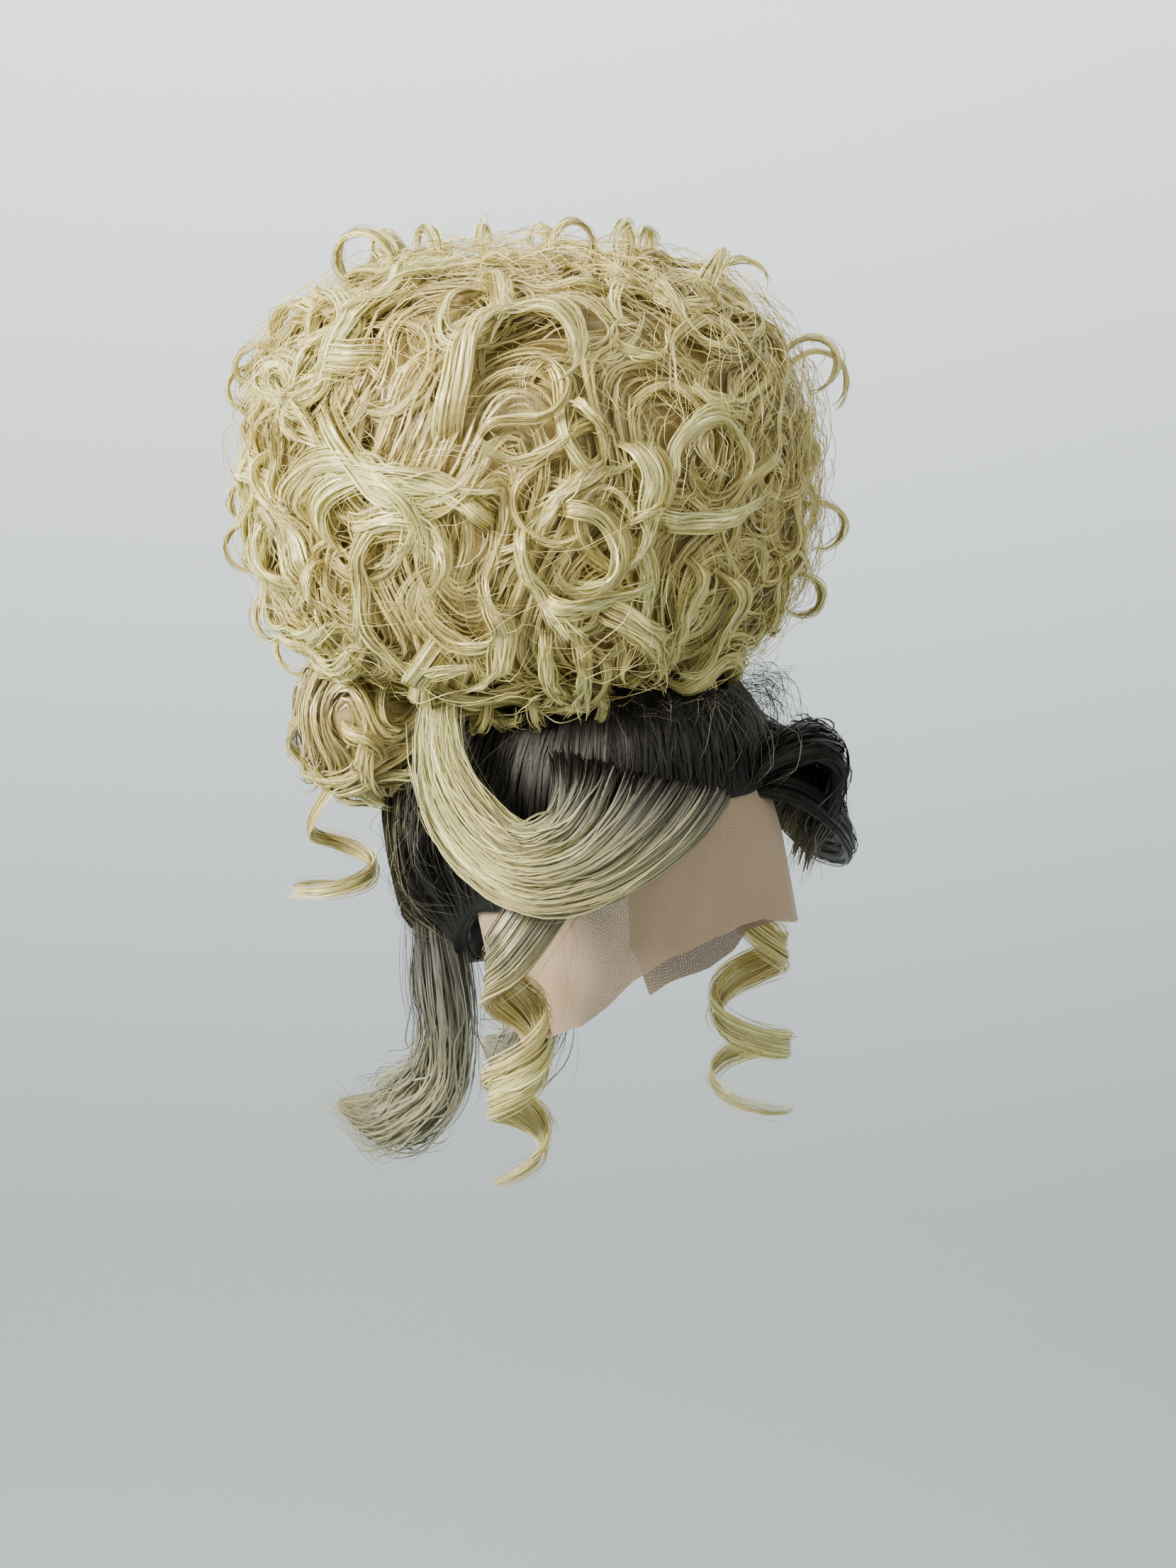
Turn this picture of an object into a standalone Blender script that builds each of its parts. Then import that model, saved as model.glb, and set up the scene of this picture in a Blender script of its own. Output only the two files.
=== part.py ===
# Updo wig on a lace-front cap: combed dark roots, two swept front waves, a tall curled
# updo, a back puff, side ringlets, nape locks and one loose tendril.
# Metres, +Z up. The wearer faces -Y. The origin is the inside of the cap at the crown.
# An azimuth is 0 at the front and grows towards the wearer's left, in degrees. A level is
# 1 at the crown, 0 where the head is widest and -1 at the jaw.

import math
from collections import namedtuple

import bmesh
import bpy
from mathutils import Vector

# Head form that the cap fits
HEAD_HALF_WIDTH = 0.076
HEAD_FRONT_DEPTH = 0.096
HEAD_BACK_DEPTH = 0.098
CROWN_RISE = 0.100
JAW_DROP = 0.120
JAW_NARROWING = 0.275
FACE_NARROWING = 0.12
NAPE_NARROWING = 0.43
NARROWING_POWER = 1.6

# Cap, lace and the gap that neighbouring pieces keep
CAP_WALL = 0.0018
LACE_WALL = 0.0012
LACE_STAND_OFF = 0.0004
LACE_FLAP_LIFT = 0.020
SEAT_GAP = 0.0004

# Combed roots over the cap
FRONT_ROOT_DEPTH = 0.009
BACK_ROOT_DEPTH = 0.030
ROOT_RIM_DEPTH = 0.0016
NAPE_RIM_DEPTH = 0.009
ROOT_RIDGE = 0.0012
CUTTER_INSET = 0.004

# Updo mass and the puff below it at the back
UPDO_HALF_WIDTH = 0.143
UPDO_HALF_HEIGHT = 0.111
UPDO_SQUARENESS = 2.8
UPDO_CENTRE_HEIGHT = 0.086
UPDO_SET_BACK = 0.050
PUFF_HALF_WIDTH = 0.108
PUFF_HALF_DEPTH = 0.054
PUFF_HALF_HEIGHT = 0.056
PUFF_SET_BACK = 0.112
PUFF_DROP = 0.044

# Curls on the updo
CURL_RADIUS = 0.0275
CURL_WIDTH = 0.0160
CURL_THICKNESS = 0.0140
CURL_CLOSING = 0.68
CURL_TIGHTENING = 1.5
CURL_SIDES = 6
LOOP_RADIUS = 0.018
LOOP_WIDTH = 0.0120
LOOP_THICKNESS = 0.0070
LOOP_CLOSING = 0.35
LOOP_CENTRE_SHARE = 0.80

# Front waves
WAVE_STAND_OFF = 0.050
WAVE_BULGE = 0.008
WAVE_THICKNESS = 0.011

# Ringlets, nape locks and tendril
RINGLET_OUT = 0.108
RINGLET_FORWARD = 0.026
RINGLET_TOP = 0.115
RINGLET_LENGTH = 0.154
RINGLET_WIDTH = 0.026
RINGLET_THICKNESS = 0.0075
RINGLET_RADIUS = 0.0128
RINGLET_ROOT_OFF = 0.0045
NAPE_LOCK_DROP = 0.095
NAPE_LOCK_FLIP = 0.072
NAPE_LOCK_SPREAD = 0.030
NAPE_LOCK_WIDTH = 0.042
NAPE_LOCK_THICKNESS = 0.026
TENDRIL_SET_BACK = 0.154
TENDRIL_OUT = 0.052
TENDRIL_TOP = 0.100
TENDRIL_LENGTH = 0.062
TENDRIL_RADIUS = 0.013
TENDRIL_WIDTH = 0.0075
TENDRIL_THICKNESS = 0.0050

# Facets of the shells around the head
AROUND_HEAD = 32
CAP_RINGS = 7

# Levels of the hairline and of the lace's cut edge, by azimuth on either side
HAIRLINE = ((0, 0.31), (25, 0.33), (48, 0.26), (66, 0.08), (78, -0.15), (90, -0.26),
            (110, -0.32), (130, -0.52), (150, -0.70), (180, -0.77))
LACE_EDGE = ((0, -0.28), (18, -0.34), (36, -0.42), (50, -0.53), (59, -0.66), (70, -0.78),
             (85, -0.88), (100, -0.99), (110, -0.80))
LACE_END_AZIMUTH = 110
LACE_FLAP = ((-30, 0.0), (-8, 0.15), (12, 1.0), (24, 0.85), (50, 0.0))

# Front wave, root to tip: azimuth, level and stand-off share of its upper and lower edge
WaveStation = namedtuple("WaveStation", "upper_azimuth upper_level upper_off "
                         "lower_azimuth lower_level lower_off")
WAVE = (WaveStation(82, 0.64, 0.08, 6, 0.38, 0.02),
        WaveStation(75, 0.52, 0.20, 20, 0.28, 0.30),
        WaveStation(70, 0.38, 0.36, 37, 0.12, 0.62),
        WaveStation(70, 0.25, 0.54, 56, -0.03, 0.88),
        WaveStation(79, 0.21, 0.72, 76, -0.04, 0.98),
        WaveStation(95, 0.45, 0.86, 96, 0.18, 0.98),
        WaveStation(114, 0.88, 0.88, 112, 0.62, 0.96))
# Each side's wave: stand-off as a share of WAVE_STAND_OFF, and levels that its lower edge sags
WaveSide = namedtuple("WaveSide", "side fullness sag")
WAVE_SIDES = {"wave_right": WaveSide(-1, 1.0, 0.0), "wave_left": WaveSide(1, 1.40, 0.22)}

# Curls that lie on the updo; the radius is a share of CURL_RADIUS
Curl = namedtuple("Curl", "azimuth latitude radius turns hand start")
SHOWN_CURLS = (
    Curl(-103, 47, 0.92, 1.25, 1, 200), Curl(-84, 26, 1.10, 1.20, -1, 100),
    Curl(-85, -3, 1.14, 1.25, 1, 160), Curl(-49, 33, 0.98, 0.90, -1, 170),
    Curl(-46, 2, 0.84, 1.15, 1, 120), Curl(-14, 9, 0.92, 1.15, -1, 60),
    Curl(-20, 39, 0.90, 1.00, 1, 20), Curl(12, 28, 0.96, 1.10, -1, 80),
    Curl(14, -5, 0.80, 0.95, 1, 150), Curl(-12, -19, 0.86, 1.10, 1, 30),
    Curl(-38, -24, 0.86, 0.85, -1, 95), Curl(-64, -20, 0.84, 1.05, 1, 210),
    Curl(-98, -31, 0.90, 1.10, -1, 60), Curl(-118, 8, 0.98, 1.20, -1, 130),
    Curl(-124, -20, 0.92, 1.20, 1, 250), Curl(3, -36, 0.74, 1.05, -1, 180),
    Curl(29, -27, 0.84, 1.00, 1, 300), Curl(-132, 32, 0.90, 1.10, 1, 40),
    Curl(-60, 60, 0.84, 1.10, 1, 330), Curl(180, 86, 0.94, 1.20, -1, 10),
    Curl(40, 5, 0.86, 1.10, -1, 220), Curl(6, 61, 0.78, 1.05, -1, 270))
# Rows of the hidden side: latitude, first azimuth, azimuth step, number of curls
CurlRow = namedtuple("CurlRow", "latitude first step count")
HIDDEN_ROWS = (CurlRow(58, 108, 1, 1), CurlRow(31, 86, 36, 4),
               CurlRow(4, 74, 38, 4), CurlRow(-23, 64, 40, 4))
HIDDEN_CURL_SHARE = 1.14
# Loops that stand off the updo; yaw turns the loop's plane about the updo's normal
Loop = namedtuple("Loop", "azimuth latitude yaw radius sweep")
LOOPS = (Loop(-172, 49, 60, 0.95, 300), Loop(157, 65, 40, 0.75, 310), Loop(46, 62, -35, 0.78, 285),
         Loop(56, 38, 50, 1.05, 235), Loop(45, 17, 80, 1.20, 240), Loop(-147, 16, 90, 0.90, 300),
         Loop(-141, -6, 95, 0.72, 290), Loop(38, -11, 90, 0.95, 280), Loop(-134, -28, 110, 0.85, 300))

# Nape lock, root to tip: shares of its drop, flip, spread, width and thickness
NapeStation = namedtuple("NapeStation", "drop back out width thick")
NAPE_LOCK = (NapeStation(-0.40, 0.20, 0.20, 0.60, 0.80),
             NapeStation(0.10, 0.12, 0.25, 0.85, 1.00),
             NapeStation(0.45, 0.12, 0.15, 0.75, 0.95),
             NapeStation(0.80, 0.24, 0.25, 0.80, 1.00),
             NapeStation(1.06, 0.58, 0.60, 0.92, 0.95),
             NapeStation(1.10, 1.02, 0.95, 0.72, 0.70))
NAPE_LOCK_AZIMUTH = 150
NAPE_LOCK_LEVEL = -0.70
NAPE_LOCK_OFF = 0.010

# Hanging locks: root, winding and shares of the sizes above. Tightening above 1 closes the
# turns towards the tip
Hanging = namedtuple("Hanging", "side root_azimuth root_level turns hand phase tightening "
                     "radius_top radius_end width length")
RINGLETS = {
    "ringlet_right": Hanging(-1, 64, 0.18, 2.39, 1, -87, 1.35, 1.0, 1.06, 1.0, 1.0),
    "ringlet_left": Hanging(1, 64, 0.18, 2.52, 1, 119, 2.0, 1.0, 2.0, 0.50, 1.18),
}
TENDRIL = Hanging(-1, 0, 0, 1.50, 1, 20, 2.4, 0.75, 2.1, 1.0, 1.0)
ROOT_SHARE = 0.17

MATERIALS = {
    "cap_net": ((0.045, 0.035, 0.030), 0.9),
    "lace": ((0.70, 0.54, 0.43), 0.8),
    "root_hair": ((0.020, 0.019, 0.020), 0.5),
    "blonde_hair": ((0.80, 0.68, 0.40), 0.4),
    "ash_hair": ((0.30, 0.30, 0.27), 0.45),
}


def new_collection(name):
    made = bpy.data.collections.new(name)
    bpy.context.scene.collection.children.link(made)
    return made


def material(name):
    found = bpy.data.materials.get(name)
    if found:
        return found
    colour, roughness = MATERIALS[name]
    made = bpy.data.materials.new(name)
    made.use_nodes = True
    shader = made.node_tree.nodes["Principled BSDF"]
    shader.inputs["Base Color"].default_value = (*colour, 1.0)
    shader.inputs["Roughness"].default_value = roughness
    return made


def table_value(table, at):
    """Straight lines between the rows of a two-column table."""
    for (low, first), (high, second) in zip(table, table[1:]):
        if at <= high:
            share = max(0.0, (at - low) / (high - low))
            return first + (second - first) * share
    return table[-1][1]


def smooth(share):
    share = min(max(share, 0.0), 1.0)
    return share * share * (3 - 2 * share)


def curve_value(values, share):
    """A smooth curve through evenly spaced values, at a share of its length."""
    at = min(max(share, 0.0), 1.0) * (len(values) - 1)
    i = min(int(at), len(values) - 2)
    t = at - i
    before = values[max(i - 1, 0)]
    after = values[min(i + 2, len(values) - 1)]
    a, b = values[i], values[i + 1]
    return (a + 0.5 * t * (b - before + t * (2 * before - 5 * a + 4 * b - after
                                             + t * (3 * (a - b) + after - before))))


# Surfaces that everything is placed on

def head_point(azimuth, level, offset):
    """The head form at an azimuth and level, moved outwards by offset."""
    turn = math.radians(azimuth)
    front = math.cos(turn) > 0
    depth = HEAD_FRONT_DEPTH if front else HEAD_BACK_DEPTH
    if level >= 0:
        ring = math.sqrt(max(0.0, 1 - level * level))
        x = HEAD_HALF_WIDTH * ring * math.sin(turn)
        y = -depth * ring * math.cos(turn)
        z = level * CROWN_RISE
        normal = Vector((x / HEAD_HALF_WIDTH**2, y / depth**2, z / CROWN_RISE**2))
    else:
        narrowing = FACE_NARROWING if front else NAPE_NARROWING
        bend = (-level) ** NARROWING_POWER
        slope = NARROWING_POWER * (-level) ** (NARROWING_POWER - 1) / JAW_DROP
        half_width = HEAD_HALF_WIDTH * (1 - JAW_NARROWING * bend)
        half_depth = depth * (1 - narrowing * bend)
        x = half_width * math.sin(turn)
        y = -half_depth * math.cos(turn)
        z = level * JAW_DROP
        rise = (math.sin(turn) ** 2 * HEAD_HALF_WIDTH * JAW_NARROWING * slope / half_width
                + math.cos(turn) ** 2 * depth * narrowing * slope / half_depth)
        normal = Vector((x / half_width**2, y / half_depth**2, -rise))
    return Vector((x, y, z - CROWN_RISE)) + normal.normalized() * offset


def shell_level(azimuth, share):
    """The level at a share of the way from the crown to the hairline."""
    rim = math.asin(table_value(HAIRLINE, abs(azimuth)))
    return math.sin(math.pi / 2 - share * (math.pi / 2 - rim))


def cap_inside(azimuth, share):
    return head_point(azimuth, shell_level(azimuth, share), 0.0)


def cap_outside(azimuth, share):
    return head_point(azimuth, shell_level(azimuth, share), CAP_WALL)


def root_inside(azimuth, share):
    return head_point(azimuth, shell_level(azimuth, share), CAP_WALL + SEAT_GAP)


def root_depth(azimuth, share):
    """Depth of the combed roots: thin at the hairline, full behind, ridged by the comb."""
    backness = smooth((abs(azimuth) - 95) / 60)
    full = FRONT_ROOT_DEPTH + (BACK_ROOT_DEPTH - FRONT_ROOT_DEPTH) * backness
    rise = smooth((1 - share) / (0.30 - 0.16 * backness))
    crown = 0.5 + 0.5 * smooth(share / 0.5)
    step = 360 / AROUND_HEAD
    ridge = ROOT_RIDGE * (1 if round(azimuth / step) % 2 else -1) * rise * smooth(share / 0.4)
    rim = ROOT_RIM_DEPTH + (NAPE_RIM_DEPTH - ROOT_RIM_DEPTH) * backness
    return rim + (full - rim) * rise * crown + ridge


def root_outside(azimuth, share):
    offset = CAP_WALL + SEAT_GAP + root_depth(azimuth, share)
    return head_point(azimuth, shell_level(azimuth, share), offset)


def updo_centre():
    return Vector((0, UPDO_SET_BACK, UPDO_CENTRE_HEIGHT))


def updo_seat(point, offset):
    """The updo's surface behind a point, moved outwards by offset, and its normal there."""
    q = point - updo_centre()
    flat = math.hypot(q.x, q.y)
    n = UPDO_SQUARENESS
    size = (flat / UPDO_HALF_WIDTH) ** n + (abs(q.z) / UPDO_HALF_HEIGHT) ** n
    q = q * size ** (-1 / n)
    flat = max(math.hypot(q.x, q.y), 1e-9)
    across = flat ** (n - 2) / UPDO_HALF_WIDTH**n
    along = math.copysign(abs(q.z) ** (n - 1) / UPDO_HALF_HEIGHT**n, q.z)
    normal = Vector((q.x * across, q.y * across, along)).normalized()
    return updo_centre() + q + normal * offset, normal


def direction(azimuth, latitude):
    turn, lift = math.radians(azimuth), math.radians(latitude)
    return Vector((math.sin(turn) * math.cos(lift), -math.cos(turn) * math.cos(lift),
                   math.sin(lift)))


def seat_frame(azimuth, latitude):
    """A seat on the updo with its normal and its level and upward tangents."""
    seat, normal = updo_seat(updo_centre() + direction(azimuth, latitude), 0.0)
    level = Vector((0, 0, 1)).cross(normal)
    level = level.normalized() if level.length > 0.05 else Vector((1, 0, 0))
    return seat, normal, level, normal.cross(level)


# Bodies: each starts as a sphere whose points are moved to their place

def split_quads(shape):
    """Splits each quad from its corner nearest the pole on the lower azimuth, so that
    nested bodies with the same rings have the same facets and keep their gap."""
    for face in [face for face in shape.faces if len(face.verts) == 4]:
        middle = face.calc_center_median()
        polar = max(round(abs(v.co.z), 5) for v in face.verts)
        corners = list(face.verts)
        first = next(i for i, v in enumerate(corners)
                     if round(abs(v.co.z), 5) == polar and v.co.cross(middle).z > 0)
        bmesh.utils.face_split(face, corners[first], corners[(first + 2) % 4])


def sphere_body(name, around, along, place, collection, colour):
    """place(angle, share) gives each point; share runs from the first pole to the last."""
    mesh = bpy.data.meshes.new(name)
    shape = bmesh.new()
    bmesh.ops.create_uvsphere(shape, u_segments=around, v_segments=along, radius=1.0)
    split_quads(shape)
    for v in shape.verts:
        angle = math.degrees(math.atan2(v.co.x, -v.co.y))
        share = round(math.degrees(math.acos(max(-1, min(1, v.co.z)))) / 180 * along) / along
        v.co = place(angle, share)
    if shape.calc_volume(signed=True) < 0:
        bmesh.ops.reverse_faces(shape, faces=shape.faces)
    shape.to_mesh(mesh)
    shape.free()
    mesh.shade_smooth()
    body = bpy.data.objects.new(name, mesh)
    collection.objects.link(body)
    if colour:
        mesh.materials.append(material(colour))
    else:
        body.hide_render = True
        body.display_type = "WIRE"
    return body


def folded_body(name, around, rings, outside, inside, collection, colour):
    """A bowl-shaped body: the sphere's upper half is its outside, the lower its inside."""
    count = 2 * rings + 1

    def place(angle, share):
        ring = round(share * count)
        if ring <= rings:
            return outside(angle, ring / rings)
        return inside(angle, (count - ring) / rings)

    return sphere_body(name, around, count, place, collection, colour)


def cut(body, *cutters):
    for cutter in cutters:
        taken = body.modifiers.new("cut_by_" + cutter.name, "BOOLEAN")
        taken.operation = "DIFFERENCE"
        taken.solver = "EXACT"
        taken.object = cutter


def taper(share, root, tip):
    """Section size along a lock: it opens over root and closes over tip, as shares."""
    opening = math.sqrt(min(1.0, share / root))
    closing = math.sqrt(min(1.0, (1 - share) / tip))
    return opening * closing


# Pieces

def wig_cap(parts):
    folded_body("wig_cap", AROUND_HEAD, CAP_RINGS, cap_outside, cap_inside, parts, "cap_net")


def root_hair(parts):
    folded_body("root_hair", AROUND_HEAD, CAP_RINGS, root_outside, root_inside, parts,
                "root_hair")


def head_cutter(cutters):
    """The head with its roots as one filled body, a seat gap larger all round."""

    def rim_level(azimuth):
        return shell_level(azimuth, 1.0) - 2 * SEAT_GAP / CROWN_RISE

    def outside(azimuth, share):
        offset = CAP_WALL + 2 * SEAT_GAP + root_depth(azimuth, share)
        level = shell_level(azimuth, share) if share < 1 else rim_level(azimuth)
        return head_point(azimuth, level, offset)

    def inside(azimuth, share):
        rim = head_point(azimuth, rim_level(azimuth), -CUTTER_INSET)
        return Vector((0, 0, -CROWN_RISE)).lerp(rim, share)

    return folded_body("head_cutter", AROUND_HEAD, CAP_RINGS, outside, inside, cutters, None)


def lace_front(parts):
    """The sheer skirt of lace from the hairline down to its untrimmed edge."""
    columns = 2 * round(LACE_END_AZIMUTH * AROUND_HEAD / 360)
    rows = 5
    shape = bmesh.new()
    bmesh.ops.create_grid(shape, x_segments=columns, y_segments=rows, size=1.0)
    seam = SEAT_GAP / CROWN_RISE
    for v in shape.verts:
        azimuth = round(v.co.x * columns / 2) * 360 / AROUND_HEAD
        down = (1 - v.co.y) / 2
        top = table_value(HAIRLINE, abs(azimuth)) - seam
        level = top + (table_value(LACE_EDGE, abs(azimuth)) - top) * down
        lift = LACE_FLAP_LIFT * table_value(LACE_FLAP, azimuth) * down**1.3
        v.co = head_point(azimuth, level, LACE_STAND_OFF + lift)
    bmesh.ops.recalc_face_normals(shape, faces=shape.faces)
    mesh = bpy.data.meshes.new("lace_front")
    shape.to_mesh(mesh)
    shape.free()
    if mesh.polygons[0].normal.dot(mesh.polygons[0].center - Vector((0, 0, -CROWN_RISE))) < 0:
        mesh.flip_normals()
    body = bpy.data.objects.new("lace_front", mesh)
    parts.objects.link(body)
    mesh.materials.append(material("lace"))
    wall = body.modifiers.new("wall", "SOLIDIFY")
    wall.thickness = LACE_WALL
    wall.offset = 1.0


def updo_place(offset):
    return lambda azimuth, share: updo_seat(
        updo_centre() + direction(azimuth, 90 - 180 * share), offset)[0]


def puff_place(offset):
    centre = Vector((0, PUFF_SET_BACK, -PUFF_DROP))
    sizes = (PUFF_HALF_WIDTH, PUFF_HALF_DEPTH, PUFF_HALF_HEIGHT)

    def place(azimuth, share):
        aim = direction(azimuth, 90 - 180 * share)
        return centre + Vector(a * (size + offset) for a, size in zip(aim, sizes))

    return place


def curl_place(curl):
    """A lock that coils flat on the updo, from its root inwards to its tip."""
    seat, _, level, upward = seat_frame(curl.azimuth, curl.latitude)
    radius = CURL_RADIUS * curl.radius

    def section(share):
        return taper(share, 0.10, 0.30)

    def centre(share):
        turn = math.radians(curl.start) + curl.hand * 2 * math.pi * curl.turns * share
        reach = radius * (1 - CURL_CLOSING * share**CURL_TIGHTENING)
        spot = seat + (level * math.cos(turn) + upward * math.sin(turn)) * reach
        flat = math.cos(math.pi / CURL_SIDES)
        return updo_seat(spot, SEAT_GAP + CURL_THICKNESS / 2 * flat * section(share))

    def place(angle, share):
        middle, normal = centre(share)
        along = centre(min(1, share + 0.02))[0] - centre(max(0, share - 0.02))[0]
        side = normal.cross(along).normalized()
        turn = math.radians(angle)
        return (middle + side * (math.cos(turn) * CURL_WIDTH / 2 * section(share))
                + normal * (math.sin(turn) * CURL_THICKNESS / 2 * section(share)))

    return place


def loop_place(loop):
    """A loop of hair that leaves the updo, rises and curls back over its own root."""
    seat, normal, level, upward = seat_frame(loop.azimuth, loop.latitude)
    yaw = math.radians(loop.yaw)
    forward = level * math.cos(yaw) + upward * math.sin(yaw)
    side = forward.cross(normal)
    radius = LOOP_RADIUS * loop.radius
    middle = seat + normal * (radius * LOOP_CENTRE_SHARE)
    first = math.radians(-80)

    def place(angle, share):
        swing = first + math.radians(loop.sweep) * share
        outward = forward * math.cos(swing) + normal * math.sin(swing)
        spot = middle + outward * (radius * (1 - LOOP_CLOSING * share))
        size = taper(share, 0.06, 0.35)
        turn = math.radians(angle)
        return (spot + side * (math.cos(turn) * LOOP_WIDTH / 2 * size)
                + outward * (math.sin(turn) * LOOP_THICKNESS / 2 * size))

    return place


def hidden_curls():
    """Curls of the side that no one sees, in plain rows with alternate hands."""
    made = []
    for row in HIDDEN_ROWS:
        for i in range(row.count):
            hand = 1 if (i + len(made)) % 2 else -1
            made.append(Curl(row.first + row.step * i, row.latitude, HIDDEN_CURL_SHARE, 1.15,
                             hand, 75 * len(made)))
    return made


def wave_point(wave, height, share):
    """A point on a front wave: height 0 is its upper edge and 1 its lower one."""

    def at(column):
        return curve_value([getattr(station, column) for station in WAVE], share)

    azimuth = at("upper_azimuth") * (1 - height) + at("lower_azimuth") * height
    sag = wave.sag * math.sin(math.pi * share)
    level = at("upper_level") * (1 - height) + (at("lower_level") - sag) * height
    off = at("upper_off") * (1 - height) + at("lower_off") * height
    swell = math.sin(math.pi * height) * math.sin(math.pi * share)
    return head_point(wave.side * azimuth, level,
                      off * wave.fullness * WAVE_STAND_OFF + swell * WAVE_BULGE)


def wave_place(wave):
    step = 0.01

    def point(height, share):
        return wave_point(wave, height, share)

    def place(angle, share):
        turn = math.radians(angle)
        size = taper(share, 0.04, 0.08)
        height = 0.5 + 0.5 * math.cos(turn) * size
        spot = point(height, share)
        along = point(height, share + step) - point(height, share - step)
        low = min(height + step, 1.0)
        across = point(low, share) - point(low - 2 * step, share)
        normal = along.cross(across).normalized() * wave.side
        return spot + normal * (math.sin(turn) * WAVE_THICKNESS / 2 * size)

    return place


def hanging_place(lock, axis, top, length, radius, width, thickness, root, away):
    """A lock that leaves its root and winds down around a plumb axis."""

    def centre(share):
        wound = lock.turns * share**lock.tightening
        turn = math.radians(lock.phase) + lock.hand * 2 * math.pi * wound
        reach = radius * (lock.radius_top + (lock.radius_end - lock.radius_top) * share)
        outward = Vector((math.cos(turn) * lock.side, math.sin(turn), 0))
        spot = axis + outward * reach + Vector((0, 0, top - length * share))
        joined = smooth(share / ROOT_SHARE)
        return root.lerp(spot, joined), away.lerp(outward, joined)

    def place(angle, share):
        spot, outward = centre(share)
        along = centre(min(1, share + 0.01))[0] - centre(max(0, share - 0.01))[0]
        side = outward.cross(along).normalized()
        outward = along.cross(side).normalized()
        size = taper(share, 0.05, 0.30)
        turn = math.radians(angle)
        return (spot + side * (math.cos(turn) * width / 2 * size)
                + outward * (math.sin(turn) * thickness / 2 * size))

    return place


def ringlet_place(lock):
    axis = Vector((lock.side * RINGLET_OUT, -RINGLET_FORWARD, 0))
    root = head_point(lock.side * lock.root_azimuth, lock.root_level, RINGLET_ROOT_OFF)
    return hanging_place(lock, axis, -RINGLET_TOP, RINGLET_LENGTH * lock.length,
                         RINGLET_RADIUS, RINGLET_WIDTH * lock.width, RINGLET_THICKNESS, root,
                         Vector((lock.side, 0, 0)))


def tendril_place():
    axis = Vector((-TENDRIL_OUT, TENDRIL_SET_BACK, 0))
    root = Vector((-TENDRIL_OUT / 2, PUFF_SET_BACK + PUFF_HALF_DEPTH / 3, -PUFF_DROP))
    return hanging_place(TENDRIL, axis, -TENDRIL_TOP, TENDRIL_LENGTH, TENDRIL_RADIUS,
                         TENDRIL_WIDTH, TENDRIL_THICKNESS, root, Vector((TENDRIL.side, 0, 0)))


def nape_place(side):
    """A lock that falls from the nape and flips out backwards."""
    base = head_point(side * NAPE_LOCK_AZIMUTH, NAPE_LOCK_LEVEL, NAPE_LOCK_OFF)

    def at(column, share):
        return curve_value([getattr(station, column) for station in NAPE_LOCK], share)

    def centre(share):
        out = at("out", share) * NAPE_LOCK_SPREAD * side
        back = at("back", share) * NAPE_LOCK_FLIP
        return base + Vector((out, back, -at("drop", share) * NAPE_LOCK_DROP))

    def place(angle, share):
        along = centre(min(1, share + 0.01)) - centre(max(0, share - 0.01))
        outward = Vector((1, 0, 0))
        across = along.cross(outward).normalized()
        size = taper(share, 0.05, 0.10)
        wide = at("width", share) * NAPE_LOCK_WIDTH * size
        thick = at("thick", share) * NAPE_LOCK_THICKNESS * size
        turn = math.radians(angle)
        return (centre(share) + across * (math.cos(turn) * wide / 2)
                + outward * (math.sin(turn) * thick / 2))

    return place


def curls_and_loops(parts, head, updo, puff):
    for i, curl in enumerate([*SHOWN_CURLS, *hidden_curls()], start=1):
        body = sphere_body(f"curl_{i:02d}", CURL_SIDES, 12, curl_place(curl), parts, "blonde_hair")
        if curl.latitude < -15:
            cut(body, head)
    for i, loop in enumerate(LOOPS, start=1):
        body = sphere_body(f"loop_{i:02d}", 6, 10, loop_place(loop), parts, "blonde_hair")
        cut(body, updo)


def build():
    for old in list(bpy.data.objects):
        bpy.data.objects.remove(old)
    parts = new_collection("updo_wig")
    cutters = new_collection("cutters")

    head = head_cutter(cutters)
    updo = sphere_body("updo_cutter", 28, 15, updo_place(SEAT_GAP), cutters, None)
    puff = sphere_body("puff_cutter", 16, 9, puff_place(SEAT_GAP), cutters, None)

    wig_cap(parts)
    root_hair(parts)
    lace_front(parts)
    mass = sphere_body("updo_mass", 28, 15, updo_place(0.0), parts, "blonde_hair")
    cut(mass, head)
    back = sphere_body("back_puff", 16, 9, puff_place(0.0), parts, "blonde_hair")
    cut(back, head, updo)
    curls_and_loops(parts, head, updo, puff)

    for name, wave in WAVE_SIDES.items():
        cut(sphere_body(name, 16, 13, wave_place(wave), parts, "ash_hair"), head, updo)
    for name, lock in RINGLETS.items():
        cut(sphere_body(name, 6, 26, ringlet_place(lock), parts, "blonde_hair"), head)
    for name, side in (("nape_lock_right", -1), ("nape_lock_left", 1)):
        cut(sphere_body(name, 10, 12, nape_place(side), parts, "ash_hair"), head)
    cut(sphere_body("back_tendril", 6, 24, tendril_place(), parts, "blonde_hair"), puff, head)


build()
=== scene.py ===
import math

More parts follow.
